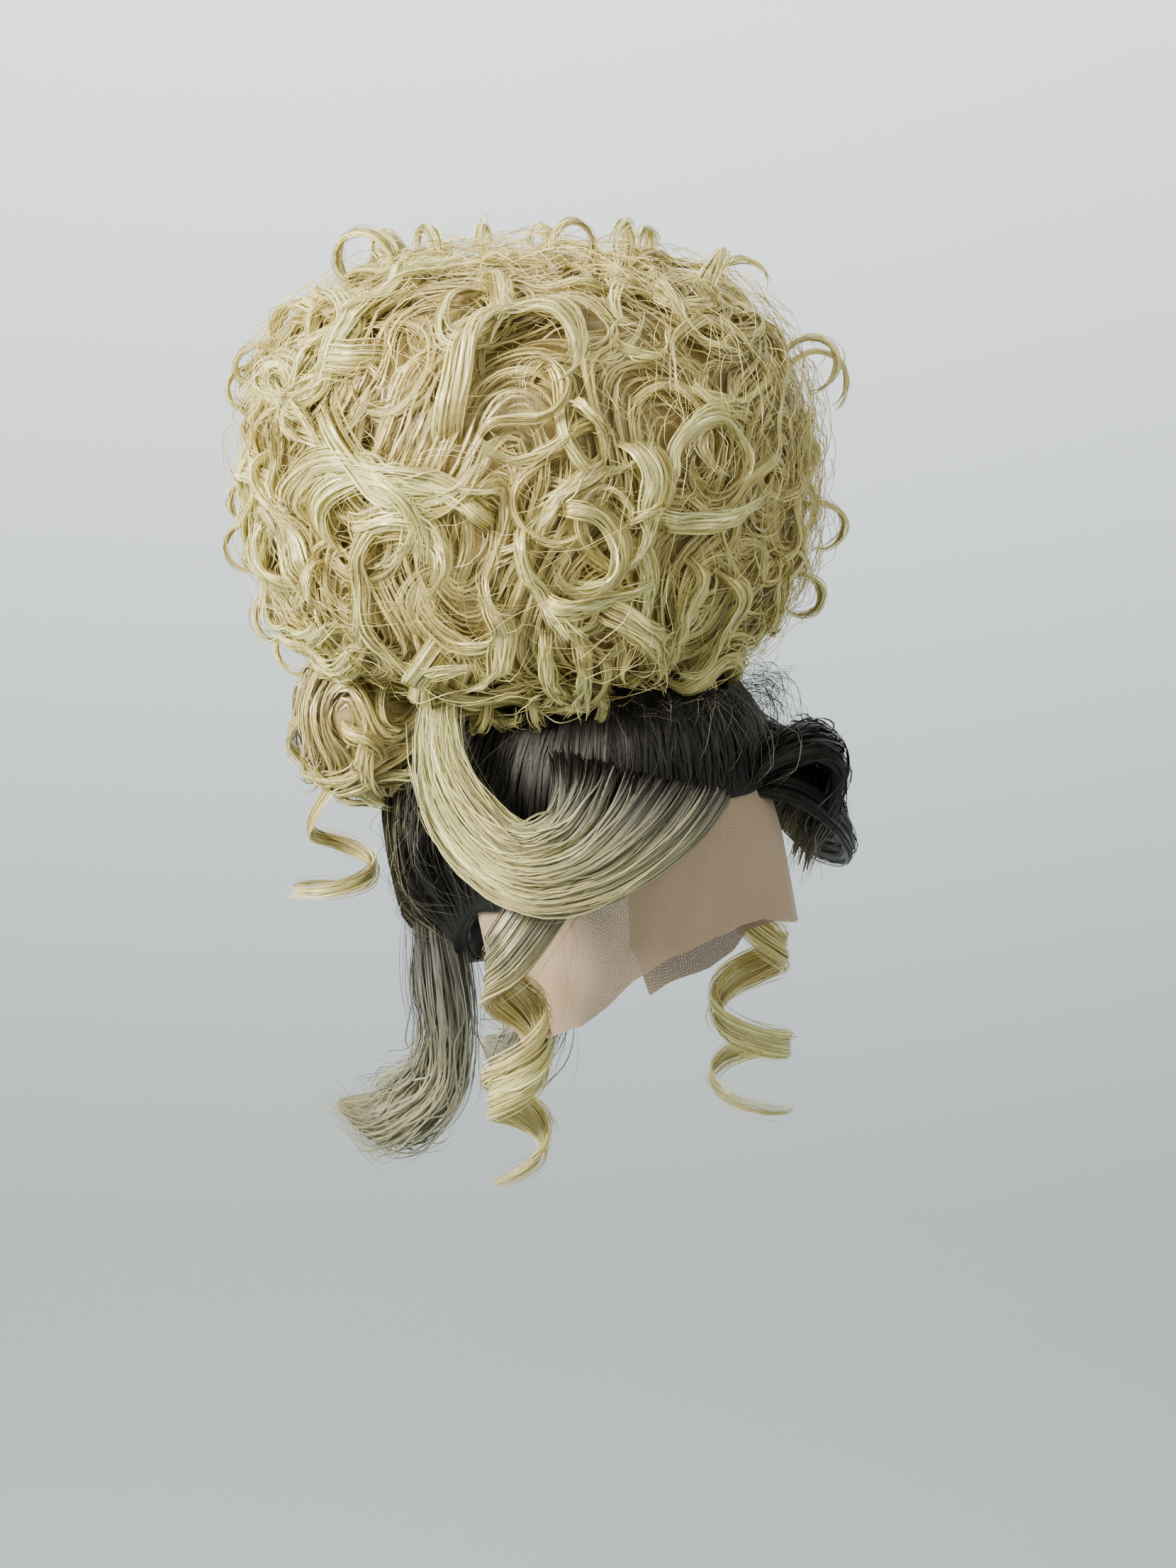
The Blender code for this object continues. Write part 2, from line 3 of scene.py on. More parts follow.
import bpy
import numpy as np
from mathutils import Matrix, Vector


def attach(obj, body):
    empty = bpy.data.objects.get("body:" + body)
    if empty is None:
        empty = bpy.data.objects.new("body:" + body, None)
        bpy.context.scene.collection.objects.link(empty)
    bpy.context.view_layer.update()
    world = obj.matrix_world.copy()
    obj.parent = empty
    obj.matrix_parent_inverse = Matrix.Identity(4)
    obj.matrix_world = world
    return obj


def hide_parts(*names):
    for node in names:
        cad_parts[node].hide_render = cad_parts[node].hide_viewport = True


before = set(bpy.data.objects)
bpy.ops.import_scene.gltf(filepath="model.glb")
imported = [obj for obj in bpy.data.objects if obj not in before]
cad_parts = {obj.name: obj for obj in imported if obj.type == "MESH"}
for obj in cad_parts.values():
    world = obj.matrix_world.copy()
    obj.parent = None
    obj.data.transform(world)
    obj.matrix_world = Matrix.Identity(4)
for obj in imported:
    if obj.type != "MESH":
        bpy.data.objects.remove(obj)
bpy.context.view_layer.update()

print("frame loaded")

# Hair colours, as linear light
hair = {
    "black": (0.012, 0.010, 0.008),
    "charcoal": (0.042, 0.039, 0.031),
    "grey": (0.17, 0.16, 0.125),
    "silver": (0.36, 0.338, 0.198),
    "ash": (0.49, 0.44, 0.21),
    "shadow": (0.34, 0.25, 0.085),
    "deepGold": (0.64, 0.51, 0.19),
    "gold": (0.80, 0.67, 0.26),
    "blonde": (0.91, 0.79, 0.34),
    "pale": (0.97, 0.88, 0.40),
}


# Camera, at the photograph's viewing angle
camera = {
    "azimuth": -52,
    "elevation": 15,
    "distance": 1.321,
    "height": 36,
    "aim": (0, 0, -0.100),
    "aimRight": -0.0094,
    "aimUp": 0.0210,
}
turn = math.radians(camera["azimuth"])
lift = math.radians(camera["elevation"])
viewRight = Vector((math.cos(turn), math.sin(turn), 0))
viewBack = Vector((math.sin(turn) * math.cos(lift), -math.cos(turn) * math.cos(lift),
                   math.sin(lift)))
viewUp = viewBack.cross(viewRight)
bpy.ops.object.camera_add()
cameraObject = bpy.context.object
cameraObject.name = "photoCamera"
cameraObject.location = (Vector(camera["aim"]) + viewRight * camera["aimRight"]
                         + viewUp * camera["aimUp"] + viewBack * camera["distance"])
cameraObject.rotation_euler = viewBack.to_track_quat("Z", "Y").to_euler()
cameraObject.data.sensor_fit = "VERTICAL"
cameraObject.data.angle_y = math.radians(camera["height"])
bpy.context.scene.camera = cameraObject
print("camera placed")


# The forms of the head, the updo, the puff and the roots
headForm = {
    "halfWidth": 0.076, "frontDepth": 0.096, "backDepth": 0.098, "crown": 0.100,
    "jaw": 0.120, "jawNarrowing": 0.275, "faceNarrowing": 0.12, "napeNarrowing": 0.43,
    "power": 1.6,
    "capWall": 0.0018, "gap": 0.0004,
}
hairline = np.array([(0, 0.31), (25, 0.33), (48, 0.26), (66, 0.08), (78, -0.15), (90, -0.26),
                     (110, -0.32), (130, -0.52), (150, -0.70), (180, -0.77)])
laceEdge = np.array([(0, -0.28), (18, -0.34), (36, -0.42), (50, -0.53), (59, -0.66),
                     (70, -0.78), (85, -0.88), (100, -0.99), (110, -0.80), (113, -0.78)])
laceFlap = np.array([(-30, 0.0), (-8, 0.15), (12, 1.0), (24, 0.85), (50, 0.0)])
updoForm = {"size": (0.143, 0.143, 0.111), "squareness": 2.8, "centre": (0, 0.050, 0.086)}
puffForm = {"size": (0.108, 0.054, 0.056), "squareness": 2, "centre": (0, 0.112, -0.044)}
rootForm = {"full": 0.009, "fullBehind": 0.021, "rim": 0.0016, "rimBehind": 0.0074,
            "behindFrom": 95, "behindSpan": 60, "rise": 0.30, "riseBehind": 0.16}
headMiddle = np.array([0, 0, -0.1])


def unit(vectors):
    length = np.linalg.norm(vectors, axis=-1, keepdims=True)
    return vectors / np.maximum(length, 1e-9)


def smoothStep(share):
    share = np.clip(share, 0, 1)
    return share * share * (3 - 2 * share)


def headPoint(azimuth, level, offset):
    # azimuth in degrees from the front, level 1 at the crown and -1 at the jaw
    f = headForm
    azimuth, level, offset = np.broadcast_arrays(azimuth, level, offset)
    a = np.radians(azimuth.astype(float))
    level = level.astype(float)
    front = np.cos(a) > 0
    depth = np.where(front, f["frontDepth"], f["backDepth"])
    ring = np.sqrt(np.clip(1 - level**2, 0, 1))
    below = np.clip(-level, 0, None)
    bend = below ** f["power"]
    slope = f["power"] * below ** (f["power"] - 1) / f["jaw"]
    narrowing = np.where(front, f["faceNarrowing"], f["napeNarrowing"])
    halfWidth = f["halfWidth"] * np.where(level >= 0, ring, 1 - f["jawNarrowing"] * bend)
    halfDepth = depth * np.where(level >= 0, ring, 1 - narrowing * bend)
    x = halfWidth * np.sin(a)
    y = -halfDepth * np.cos(a)
    z = level * np.where(level >= 0, f["crown"], f["jaw"])
    upper = np.stack([x / f["halfWidth"]**2, y / depth**2, z / f["crown"]**2], axis=-1)
    wide = np.maximum(halfWidth, 1e-6)
    deep = np.maximum(halfDepth, 1e-6)
    rise = (np.sin(a)**2 * f["halfWidth"] * f["jawNarrowing"] * slope / wide
            + np.cos(a)**2 * depth * narrowing * slope / deep)
    lower = np.stack([x / wide**2, y / deep**2, -rise], axis=-1)
    normal = unit(np.where((level >= 0)[..., None], upper, lower))
    return np.stack([x, y, z - f["crown"]], axis=-1) + normal * offset[..., None].astype(float)


def hairlineLevel(azimuth):
    return np.interp(np.abs(azimuth), hairline[:, 0], hairline[:, 1])


def shellLevel(azimuth, share):
    rim = np.arcsin(hairlineLevel(azimuth))
    return np.sin(np.pi / 2 - share * (np.pi / 2 - rim))


def rootDepth(azimuth, share):
    # how far the combed roots stand off the cap, with share one at the rim
    f = rootForm
    backness = smoothStep((np.abs(azimuth) - f["behindFrom"]) / f["behindSpan"])
    full = f["full"] + f["fullBehind"] * backness
    rise = smoothStep((1 - share) / (f["rise"] - f["riseBehind"] * backness))
    crown = 0.5 + 0.5 * smoothStep(share / 0.5)
    rim = f["rim"] + f["rimBehind"] * backness
    return rim + (full - rim) * rise * crown


def seatOn(form, points, offset=0.0):
    # the form's surface behind each point, moved outwards by offset, and its normal there
    width, depth, height = form["size"]
    q = points - np.array(form["centre"])
    n = form["squareness"]
    flat = np.hypot(q[..., 0] / width, q[..., 1] / depth)
    size = flat**n + (np.abs(q[..., 2]) / height)**n
    q = q * (size ** (-1 / n))[..., None]
    flat = np.maximum(np.hypot(q[..., 0] / width, q[..., 1] / depth), 1e-6)
    across = flat**(n - 2)
    along = np.sign(q[..., 2]) * np.abs(q[..., 2] / height)**(n - 1) / height
    normal = unit(np.stack([q[..., 0] * across / width**2, q[..., 1] * across / depth**2, along],
                           axis=-1))
    offset = np.broadcast_to(offset, q.shape[:-1])
    return np.array(form["centre"]) + q + normal * offset[..., None], normal


def aimAt(azimuth, latitude):
    a, b = math.radians(azimuth), math.radians(latitude)
    return np.array([math.sin(a) * math.cos(b), -math.cos(a) * math.cos(b), math.sin(b)])


def placeOn(form, azimuth, latitude):
    seat, normal = seatOn(form, np.array(form["centre"]) + aimAt(azimuth, latitude))
    level = np.cross([0, 0, 1], normal)
    level = unit(level) if np.linalg.norm(level) > 0.05 else np.array([1.0, 0, 0])
    return seat, normal, level, np.cross(normal, level)


# Materials

def nodeMaterial(name):
    made = bpy.data.materials.new(name)
    made.use_nodes = True
    return made, made.node_tree.nodes, made.node_tree.links, made.node_tree.nodes["Principled BSDF"]


def setInputs(node, values):
    for socket, value in values.items():
        node.inputs[socket].default_value = value


def addNode(nodes, kind, values):
    made = nodes.new(kind)
    setInputs(made, values)
    return made


def addRamp(nodes, *ends):
    # each end is a place and a colour
    made = nodes.new("ShaderNodeValToRGB")
    for element, (place, colour) in zip(made.color_ramp.elements, ends):
        element.position = place
        element.color = (*colour, 1)
    return made


def join(links, *rows):
    # each row is a node, its output, the next node and its input
    for source, output, target, socket in rows:
        links.new(source.outputs[output], target.inputs[socket])


def addNoise(nodes, links, where, scale, detail):
    # noise on the strand map, which is in millimetres across and along
    stretch = addNode(nodes, "ShaderNodeMapping", {"Scale": scale})
    noise = addNode(nodes, "ShaderNodeTexNoise", {"Scale": 1.0, "Detail": detail})
    join(links, (where, "UV", stretch, "Vector"), (stretch, "Vector", noise, "Vector"))
    return noise


fibre = {"streaks": (3.0, 0.025, 1), "streakDetail": 3.0, "streakEnds": (0.40, 0.60),
         "bumpDepth": 0.0004, "gapScale": (2.6, 0.02, 1), "gapDetail": 1.0, "gapEdge": 0.03}


def hairMaterial(name, look):
    # the tone painted on each strand, with fine streaks along it and gaps between its hairs
    made, nodes, links, shader = nodeMaterial(name)
    tone = nodes.new("ShaderNodeAttribute")
    tone.attribute_name = "tone"
    where = nodes.new("ShaderNodeUVMap")
    where.uv_map = "strandMap"
    streak = addNoise(nodes, links, where, fibre["streaks"], fibre["streakDetail"])
    darkEnd, lightEnd = fibre["streakEnds"]
    ramp = addRamp(nodes, (darkEnd, look["streakDark"]), (lightEnd, (1, 1, 1)))
    mix = nodes.new("ShaderNodeMix")
    mix.data_type = "RGBA"
    mix.blend_type = "MULTIPLY"
    mix.inputs["Factor"].default_value = 1.0
    bump = addNode(nodes, "ShaderNodeBump",
                   {"Strength": look["bump"], "Distance": fibre["bumpDepth"]})
    tangent = nodes.new("ShaderNodeTangent")
    tangent.direction_type = "UV_MAP"
    tangent.uv_map = "strandMap"
    join(links, (streak, "Fac", ramp, "Fac"), (tone, "Color", mix, "A"),
         (ramp, "Color", mix, "B"), (mix, "Result", shader, "Base Color"),
         (streak, "Fac", bump, "Height"), (bump, "Normal", shader, "Normal"),
         (tangent, "Tangent", shader, "Tangent"))
    if look["gaps"]:
        gap = addNoise(nodes, links, where, fibre["gapScale"], fibre["gapDetail"])
        cover = addNode(nodes, "ShaderNodeMapRange",
                        {"From Min": look["gaps"] - fibre["gapEdge"],
                         "From Max": look["gaps"] + fibre["gapEdge"]})
        join(links, (gap, "Fac", cover, "Value"), (cover, "Result", shader, "Alpha"))
    setInputs(shader, {"Roughness": look["roughness"], "Anisotropic": look["anisotropic"],
                       "Specular IOR Level": look["specular"],
                       "Specular Tint": (*look["gloss"], 1)})
    return made


blondeLook = {"streakDark": (0.62, 0.57, 0.38), "bump": 0.15, "roughness": 0.29,
              "anisotropic": 0.8, "specular": 0.95, "gaps": 0.44, "gloss": (1.0, 0.90, 0.60)}
darkLook = {"streakDark": (0.52, 0.52, 0.52), "bump": 0.4, "roughness": 0.44,
            "anisotropic": 0.7, "specular": 0.30, "gaps": 0.40, "gloss": (1.0, 0.95, 0.80)}
# the first of each pair is for strands, the second for solid cores
blonde = [hairMaterial("blondeFibre", blondeLook),
          hairMaterial("blondeBody", dict(blondeLook, gaps=0, bump=0.7))]
blondeFrizz = hairMaterial("blondeFrizz", dict(blondeLook, gaps=0, bump=0, roughness=0.45))
dark = [hairMaterial("rootFibre", darkLook),
        hairMaterial("rootBody", dict(darkLook, gaps=0, bump=0.7))]


# Strand building: each store gathers quads with a tone and a place on the strand map

def newStore():
    return {"verts": [], "quads": [], "tones": [], "maps": [], "slots": [], "count": 0}


def gridQuads(index):
    quads = np.stack([index[..., :-1, :-1], index[..., :-1, 1:], index[..., 1:, 1:],
                      index[..., 1:, :-1]], axis=-1)
    return quads.reshape(-1, 4)


def mapGrid(across, along):
    return np.stack(np.broadcast_arrays(across, along), axis=-1)


def runAlong(points, axis):
    # the length run so far along one axis of a grid of points
    steps = np.diff(points, axis=axis, prepend=np.take(points, [0], axis=axis))
    return np.cumsum(np.linalg.norm(steps, axis=-1), axis=axis)


def addGrid(store, points, tones, maps, solid=False):
    # points is (strips, along, across, 3); a solid joins the last column to the first, and
    # takes the second material
    strips, along, across = points.shape[:3]
    index = np.arange(strips * along * across).reshape(strips, along, across) + store["count"]
    if solid:
        index = np.concatenate([index, index[:, :, :1]], axis=2)
    quads = gridQuads(index)
    store["verts"].append(points.reshape(-1, 3))
    store["quads"].append(quads)
    store["tones"].append(np.broadcast_to(tones, points.shape).reshape(-1, 3))
    store["maps"].append(np.broadcast_to(maps, points.shape[:3] + (2,)).reshape(-1, 2))
    store["slots"].append(np.full(len(quads), int(solid), dtype=np.int32))
    store["count"] += strips * along * across


total = {"triangles": 0}


def newPiece(name, mesh):
    piece = bpy.data.objects.new(name, mesh)
    bpy.context.scene.collection.objects.link(piece)
    return piece


def makeHair(name, store, materials, nodesReplaced=()):
    verts = np.concatenate(store["verts"]).astype(np.float32)
    quads = np.concatenate(store["quads"]).astype(np.int32)
    tones = np.concatenate(store["tones"]).astype(np.float32)
    maps = np.concatenate(store["maps"]).astype(np.float32)
    mesh = bpy.data.meshes.new(name)
    mesh.vertices.add(len(verts))
    mesh.vertices.foreach_set("co", verts.ravel())
    mesh.loops.add(len(quads) * 4)
    mesh.loops.foreach_set("vertex_index", quads.ravel())
    mesh.polygons.add(len(quads))
    mesh.polygons.foreach_set("loop_start", np.arange(0, len(quads) * 4, 4, dtype=np.int32))
    for material in materials:
        mesh.materials.append(material)
    mesh.update(calc_edges=True)
    mesh.polygons.foreach_set("use_smooth", np.ones(len(quads), dtype=bool))
    mesh.polygons.foreach_set("material_index", np.concatenate(store["slots"]))
    tone = mesh.color_attributes.new("tone", "FLOAT_COLOR", "POINT")
    tone.data.foreach_set("color", np.column_stack([tones, np.ones(len(tones))])
                          .astype(np.float32).ravel())
    layer = mesh.uv_layers.new(name="strandMap")
    layer.data.foreach_set("uv", maps[quads.ravel()].ravel())
    piece = newPiece(name, mesh)
    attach(piece, "root")
    if nodesReplaced:
        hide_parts(*nodesReplaced)
    total["triangles"] += len(quads) * 2
    print("made", name, "with", len(quads) * 2, "triangles, so far", total["triangles"])


def smoothNoise(rng, count, along, knots):
    values = rng.normal(size=(count, knots, 3))
    at = np.linspace(0, knots - 1, along)
    i = np.minimum(at.astype(int), knots - 2)
    part = smoothStep(at - i)[None, :, None]
    return values[:, i] * (1 - part) + values[:, i + 1] * part


def rampTone(ramp, share):
    # ramp is a list of (share, colour name)
    places = [row[0] for row in ramp]
    colours = np.array([hair[row[1]] for row in ramp])
    return np.stack([np.interp(share, places, colours[:, i]) for i in range(3)], axis=-1)


def strandTones(rng, ramp, paths):
    # one tone from the ramp for each strand
    count, along = paths.shape[:2]
    return rampTone(ramp, rng.random((count, 1)) * np.ones((1, along)))


def addRibbons(store, rng, paths, across, width, tones, roll=0.22):
    # flat wisps along paths (strands, along, 3), each turned a little at random
    strands, along = paths.shape[:2]
    tangent = unit(np.gradient(paths, axis=1))
    across = unit(across - (across * tangent).sum(-1, keepdims=True) * tangent)
    outward = np.cross(tangent, across)
    turned = rng.normal(0, roll, size=(strands, 1, 1))
    across = across * np.cos(turned) + outward * np.sin(turned)
    share = np.linspace(0, 1, along)
    narrow = np.clip(np.minimum(share / 0.08 + 0.3, (1 - share) / 0.25 + 0.12), 0, 1)
    half = (width.reshape(-1, 1) * narrow[None, :] / 2)[..., None]
    points = np.stack([paths - across * half, paths + across * half], axis=2)
    seed = rng.random(size=(strands, 1)) * 900
    run = runAlong(paths, 1) * 1000
    wide = half[..., 0] * 1000
    sides = np.stack([seed - wide, seed + wide], axis=-1)
    maps = np.stack([sides, np.repeat(run[..., None], 2, axis=-1)], axis=-1)
    addGrid(store, points, tones[:, :, None, :], maps)


def lockFrames(path, hint):
    tangent = unit(np.gradient(path, axis=0))
    outward = unit(hint - (hint * tangent).sum(-1, keepdims=True) * tangent)
    return np.cross(outward, tangent), outward


def sampled(values, at):
    # values (long, ...) read at fractional places
    i = np.clip(at.astype(int), 0, len(values) - 2)
    part = at - i
    part = part.reshape(part.shape + (1,) * (values.ndim - 1))
    return values[i] * (1 - part) + values[i + 1] * part


lockDefaults = {
    "strands": 80, "along": 26, "clumps": 7, "open": 0.10, "close": 0.45, "core": 0.50,
    "coreAlong": 18, "corePaintedShade": 0.58, "drift": 0.0018, "loose": 0.0006, "stray": 0.15,
    "lateStart": 0.08, "earlyEnd": 0.30, "wisp": (0.0006, 0.0012), "twist": 0.35,
    "shadeSpread": 0.075, "ramp": [(0, "gold"), (0.3, "blonde"), (0.75, "pale")],
}


def addLock(store, rng, path, hint, width, thickness, spec):
    # a slim solid core inside clumps of wisps that follow one centre line; width and thickness
    # are single measures or one for each place on it
    spec = {**lockDefaults, **spec}
    side, outward = lockFrames(path, hint)
    long = len(path)
    share = np.linspace(0, 1, long)
    lean = spec["twist"] * np.sin(2 * np.pi * (share * rng.uniform(0.6, 1.2) + rng.random()))
    lean = lean[:, None]
    side, outward = (side * np.cos(lean) + outward * np.sin(lean),
                     outward * np.cos(lean) - side * np.sin(lean))
    size = (np.clip(share / spec["open"], 0, 1) ** 0.5
            * np.clip((1 - share) / spec["close"], 0, 1) ** 0.7)
    size = np.maximum(size, 0.10)
    length = np.linalg.norm(np.diff(path, axis=0), axis=1).sum() * 1000
    tint = rng.uniform(0.93, 1.05)
    at = np.linspace(0, long - 1, spec["coreAlong"])
    turnSteps = np.linspace(0, 2 * np.pi, 6, endpoint=False)
    centre = sampled(path, at)[:, None]
    wide = sampled(width * size, at)[:, None, None] / 2 * spec["core"]
    thick = sampled(thickness * size, at)[:, None, None] / 2 * spec["core"]
    core = (centre + sampled(side, at)[:, None] * wide * np.cos(turnSteps)[None, :, None]
            + sampled(outward, at)[:, None] * thick * np.sin(turnSteps)[None, :, None])
    # the core's tone is darkened, painted shade in the depth between the wisps
    coreTone = rampTone(spec["ramp"], at / (long - 1)) * spec["corePaintedShade"] * tint
    coreMap = mapGrid((turnSteps * 3)[None, :] + rng.random() * 900,
                      (at / (long - 1) * length)[:, None])
    addGrid(store, core[None], coreTone[None, :, None, :], coreMap[None], solid=True)

    count, along, clumps = spec["strands"], spec["along"], spec["clumps"]
    member = rng.integers(0, clumps, count)
    angle = np.linspace(0, 2 * np.pi, clumps, endpoint=False) + rng.uniform(0, 1.5)
    reach = rng.uniform(0.45, 0.95, clumps)
    start = rng.uniform(0, spec["lateStart"], count)
    clumpEnd = 1 - rng.random(clumps) ** 1.6 * spec["earlyEnd"]
    end = np.clip(clumpEnd[member] + rng.normal(0, 0.03, count), 0.5, 1)
    at = (start[:, None] + (end - start)[:, None] * np.linspace(0, 1, along)[None, :]) * (long - 1)
    part = at / (long - 1)
    spread = 0.34 * (1 - 0.45 * part)
    sideways = (np.cos(angle) * reach)[member][:, None] + rng.normal(0, 1, (count, 1)) * spread
    proud = (np.sin(angle) * reach)[member][:, None] + rng.normal(0, 1, (count, 1)) * spread
    wide = sampled(width * size, at) / 2
    thick = sampled(thickness * size, at) / 2
    paths = (sampled(path, at) + sampled(side, at) * (wide * sideways)[..., None]
             + sampled(outward, at) * (thick * proud)[..., None])
    growth = 0.25 + 1.1 * part ** 1.5
    drift = smoothNoise(rng, clumps, along, 5)[member] * spec["drift"]
    strayed = np.where(rng.random((count, 1)) < spec["stray"], 3.2, 1.0)
    fine = smoothNoise(rng, count, along, 6) * (spec["loose"] * strayed)[..., None]
    paths = paths + (drift + fine) * growth[..., None]
    clumpShade = rng.normal(0, spec["shadeSpread"], (clumps, 1))[member]
    # each strand's tone varies at random by clump and strand, and takes painted shade: darker on
    # the lock's inner side, lighter on its outer side
    shade = (1 + clumpShade + rng.normal(0, spec["shadeSpread"], (count, 1))
             + 0.12 * np.clip(proud, -1.2, 1.2))
    tones = rampTone(spec["ramp"], part + rng.normal(0, 0.06, (count, 1)))
    tones = np.clip(tones * shade[..., None] * tint, 0, 0.97)
    slope = unit(np.stack([-proud / np.maximum(thick, 1e-5),
                           sideways / np.maximum(wide, 1e-5)], -1))
    across = sampled(side, at) * slope[..., :1] + sampled(outward, at) * slope[..., 1:]
    addRibbons(store, rng, paths, across, rng.uniform(*spec["wisp"], count), tones)


def shownShare(point):
    # one in the middle of the side of the updo that the photograph shows, nought behind it
    aim = unit(point - np.array(updoForm["centre"]))
    toward = float(aim @ np.array(viewBack))
    return float(np.clip((toward + 0.35) / 0.45, 0, 1))


# Locks that run over the updo: from a place and heading on it, each turns first one way and
# then coils towards its tip. The rows are in degrees and millimetres, positive to the left
sweep = {
    "mostCoil": 240, "lift": 0.002, "sink": 0.012, "width": 0.78, "backFrom": -60,
    "backWidth": 1.10, "flatness": 0.36,
    # azimuth, latitude, heading, first turn, coil, length, width and lift
    "rows": [
        (-131, 33, 38, -20, -265, 150, 13, 8), (-105, 17, 12, -75, 150, 140, 15, 9),
        (-70, 10, 62, 35, -250, 145, 14, 12), (-136, 27, -30, 22, 8, 95, 15, 6),
        (-102, -10, 100, -70, -125, 140, 16, 9), (-93, -15, 103, -40, -310, 138, 12, 11),
        (-57, -4, 118, 30, 45, 75, 12, 9), (-99, 13, 150, -40, -110, 70, 9, 7),
        (-104, -19, 175, -25, -280, 95, 13, 9), (-127, -20, -70, 55, 50, 90, 13, 9),
        (-120, 11, -75, -15, 28, 78, 12, 8), (-127, -23, -77, 45, 60, 95, 13, 10),
        (-105, -40, 203, -50, 210, 85, 10, 12), (-34, 16, -38, -40, -75, 80, 15, 11),
        (-35, 12, -130, -25, 45, 55, 10, 8), (-51, 1, 15, -45, -350, 98, 9, 13),
        (-52, 1, -108, 35, 30, 64, 9, 9), (-25, 0, 97, -30, -220, 100, 10, 12),
        (-30, 0, -18, 8, 48, 62, 13, 13), (-14, -11, -30, -45, -110, 72, 14, 12),
        (-41, -17, -12, -15, -55, 62, 15, 12), (-51, -14, -40, 42, 30, 60, 11, 10),
        (-41, -24, -75, -8, -20, 45, 10, 9), (-35, -28, -70, -30, -100, 58, 10, 10),
        (-47, -21, -107, 20, 65, 56, 9, 9), (-15, -45, 80, -45, -245, 102, 11, 12),
        (-66, -23, -140, 20, 195, 130, 13, 9), (-88, -45, 42, 20, -90, 70, 10, 10),
        (-32, -3, -66, -10, -35, 52, 12, 9), (-19, -8, -62, -40, -20, 58, 10, 8),
        (8, -10, -55, -30, -90, 50, 9, 9), (-108, -38, 45, -25, 30, 68, 11, 8),
        (-61, -15, -45, -40, -70, 60, 11, 8), (-69, 51, -10, -55, -35, 62, 10, 8),
    ],
    "spec": {"strands": 80, "along": 25, "clumps": 8, "wisp": (0.0007, 0.0013),
             "ramp": [(0, "gold"), (0.2, "blonde"), (0.5, "pale")]},
}


def sweepPath(form, azimuth, latitude, heading, first, coil, length, lift, sink):
    steps = 130
    place, normal, level, upward = placeOn(form, azimuth, latitude)
    share = np.linspace(0, 1, steps)
    turned = first * smoothStep(share / 0.4) + coil * np.clip((share - 0.22) / 0.78, 0, 1) ** 1.45
    change = np.radians(np.diff(turned, prepend=turned[0]))
    going = level * math.cos(math.radians(heading)) + upward * math.sin(math.radians(heading))
    stride = length / (steps - 1)
    spots, ups = [], []
    for k in range(steps):
        spots.append(place)
        ups.append(normal)
        going = going * math.cos(change[k]) + np.cross(normal, going) * math.sin(change[k])
        place, normal = seatOn(form, place + going * stride)
        going = unit(going - normal * (going @ normal))
    spots, ups = np.array(spots), np.array(ups)
    height = (lift + sink) * smoothStep(share / 0.22) - sink
    height = height + 0.0025 * np.sin(share * length / 0.042 * 2 * np.pi + azimuth)
    height = height + 0.004 * smoothStep((share - 0.7) / 0.3)
    path = spots + ups * height[:, None]
    bend = np.gradient(np.gradient(spots, axis=0), axis=0)
    flat = bend - (bend * ups).sum(-1, keepdims=True) * ups
    strength = np.clip(np.linalg.norm(flat, axis=1, keepdims=True) / stride**2 * 0.008, 0, 1)
    return path, unit(ups - unit(flat) * strength * 0.9)


def drawSweep(rng, form, data, azimuth, latitude, sign):
    # a sweeping path and a width, drawn from the ranges in data
    path, hint = sweepPath(form, azimuth, latitude, rng.uniform(*data["heading"]),
                           -sign * rng.uniform(*data["first"]),
                           sign * rng.uniform(*data["coil"]), rng.uniform(*data["length"]),
                           rng.uniform(*data["lift"]), data["sink"])
    return path, hint, rng.uniform(*data["width"])


# Curls that the solids have, laid below the sweeping locks; their tones run darker than the
# sweeps', painted shade for lying under them
curls = {
    "radius": 0.0275, "width": 0.0115, "thickness": 0.006, "closing": 0.55,
    "tightening": 1.5, "lift": 0.0020, "unwound": 0.62,
    # azimuth, latitude, share of the radius, turns, hand and starting angle
    "shown": [
        (-103, 47, 0.92, 1.25, 1, 200), (-84, 26, 1.10, 1.20, -1, 100),
        (-85, -3, 1.14, 1.25, 1, 160), (-49, 33, 0.98, 0.90, -1, 170),
        (-46, 2, 0.84, 1.15, 1, 120), (-14, 9, 0.92, 1.15, -1, 60),
        (-20, 39, 0.90, 1.00, 1, 20), (12, 28, 0.96, 1.10, -1, 80),
        (14, -5, 0.80, 0.95, 1, 150), (-12, -19, 0.86, 1.10, 1, 30),
        (-38, -24, 0.86, 0.85, -1, 95), (-64, -20, 0.84, 1.05, 1, 210),
        (-98, -31, 0.90, 1.10, -1, 60), (-118, 8, 0.98, 1.20, -1, 130),
        (-124, -20, 0.92, 1.20, 1, 250), (3, -36, 0.74, 1.05, -1, 180),
        (29, -27, 0.84, 1.00, 1, 300), (-132, 32, 0.90, 1.10, 1, 40),
        (-60, 60, 0.84, 1.10, 1, 330), (180, 86, 0.94, 1.20, -1, 10),
        (40, 5, 0.86, 1.10, -1, 220), (6, 61, 0.78, 1.05, -1, 270)],
    # rows round the back: latitude, first azimuth, step and count
    "hiddenRows": [(58, 108, 1, 1), (31, 86, 36, 4), (4, 74, 38, 4), (-23, 64, 40, 4)],
    "ramp": [(0, "deepGold"), (0.35, "gold"), (0.8, "blonde"), (1, "pale")],
}


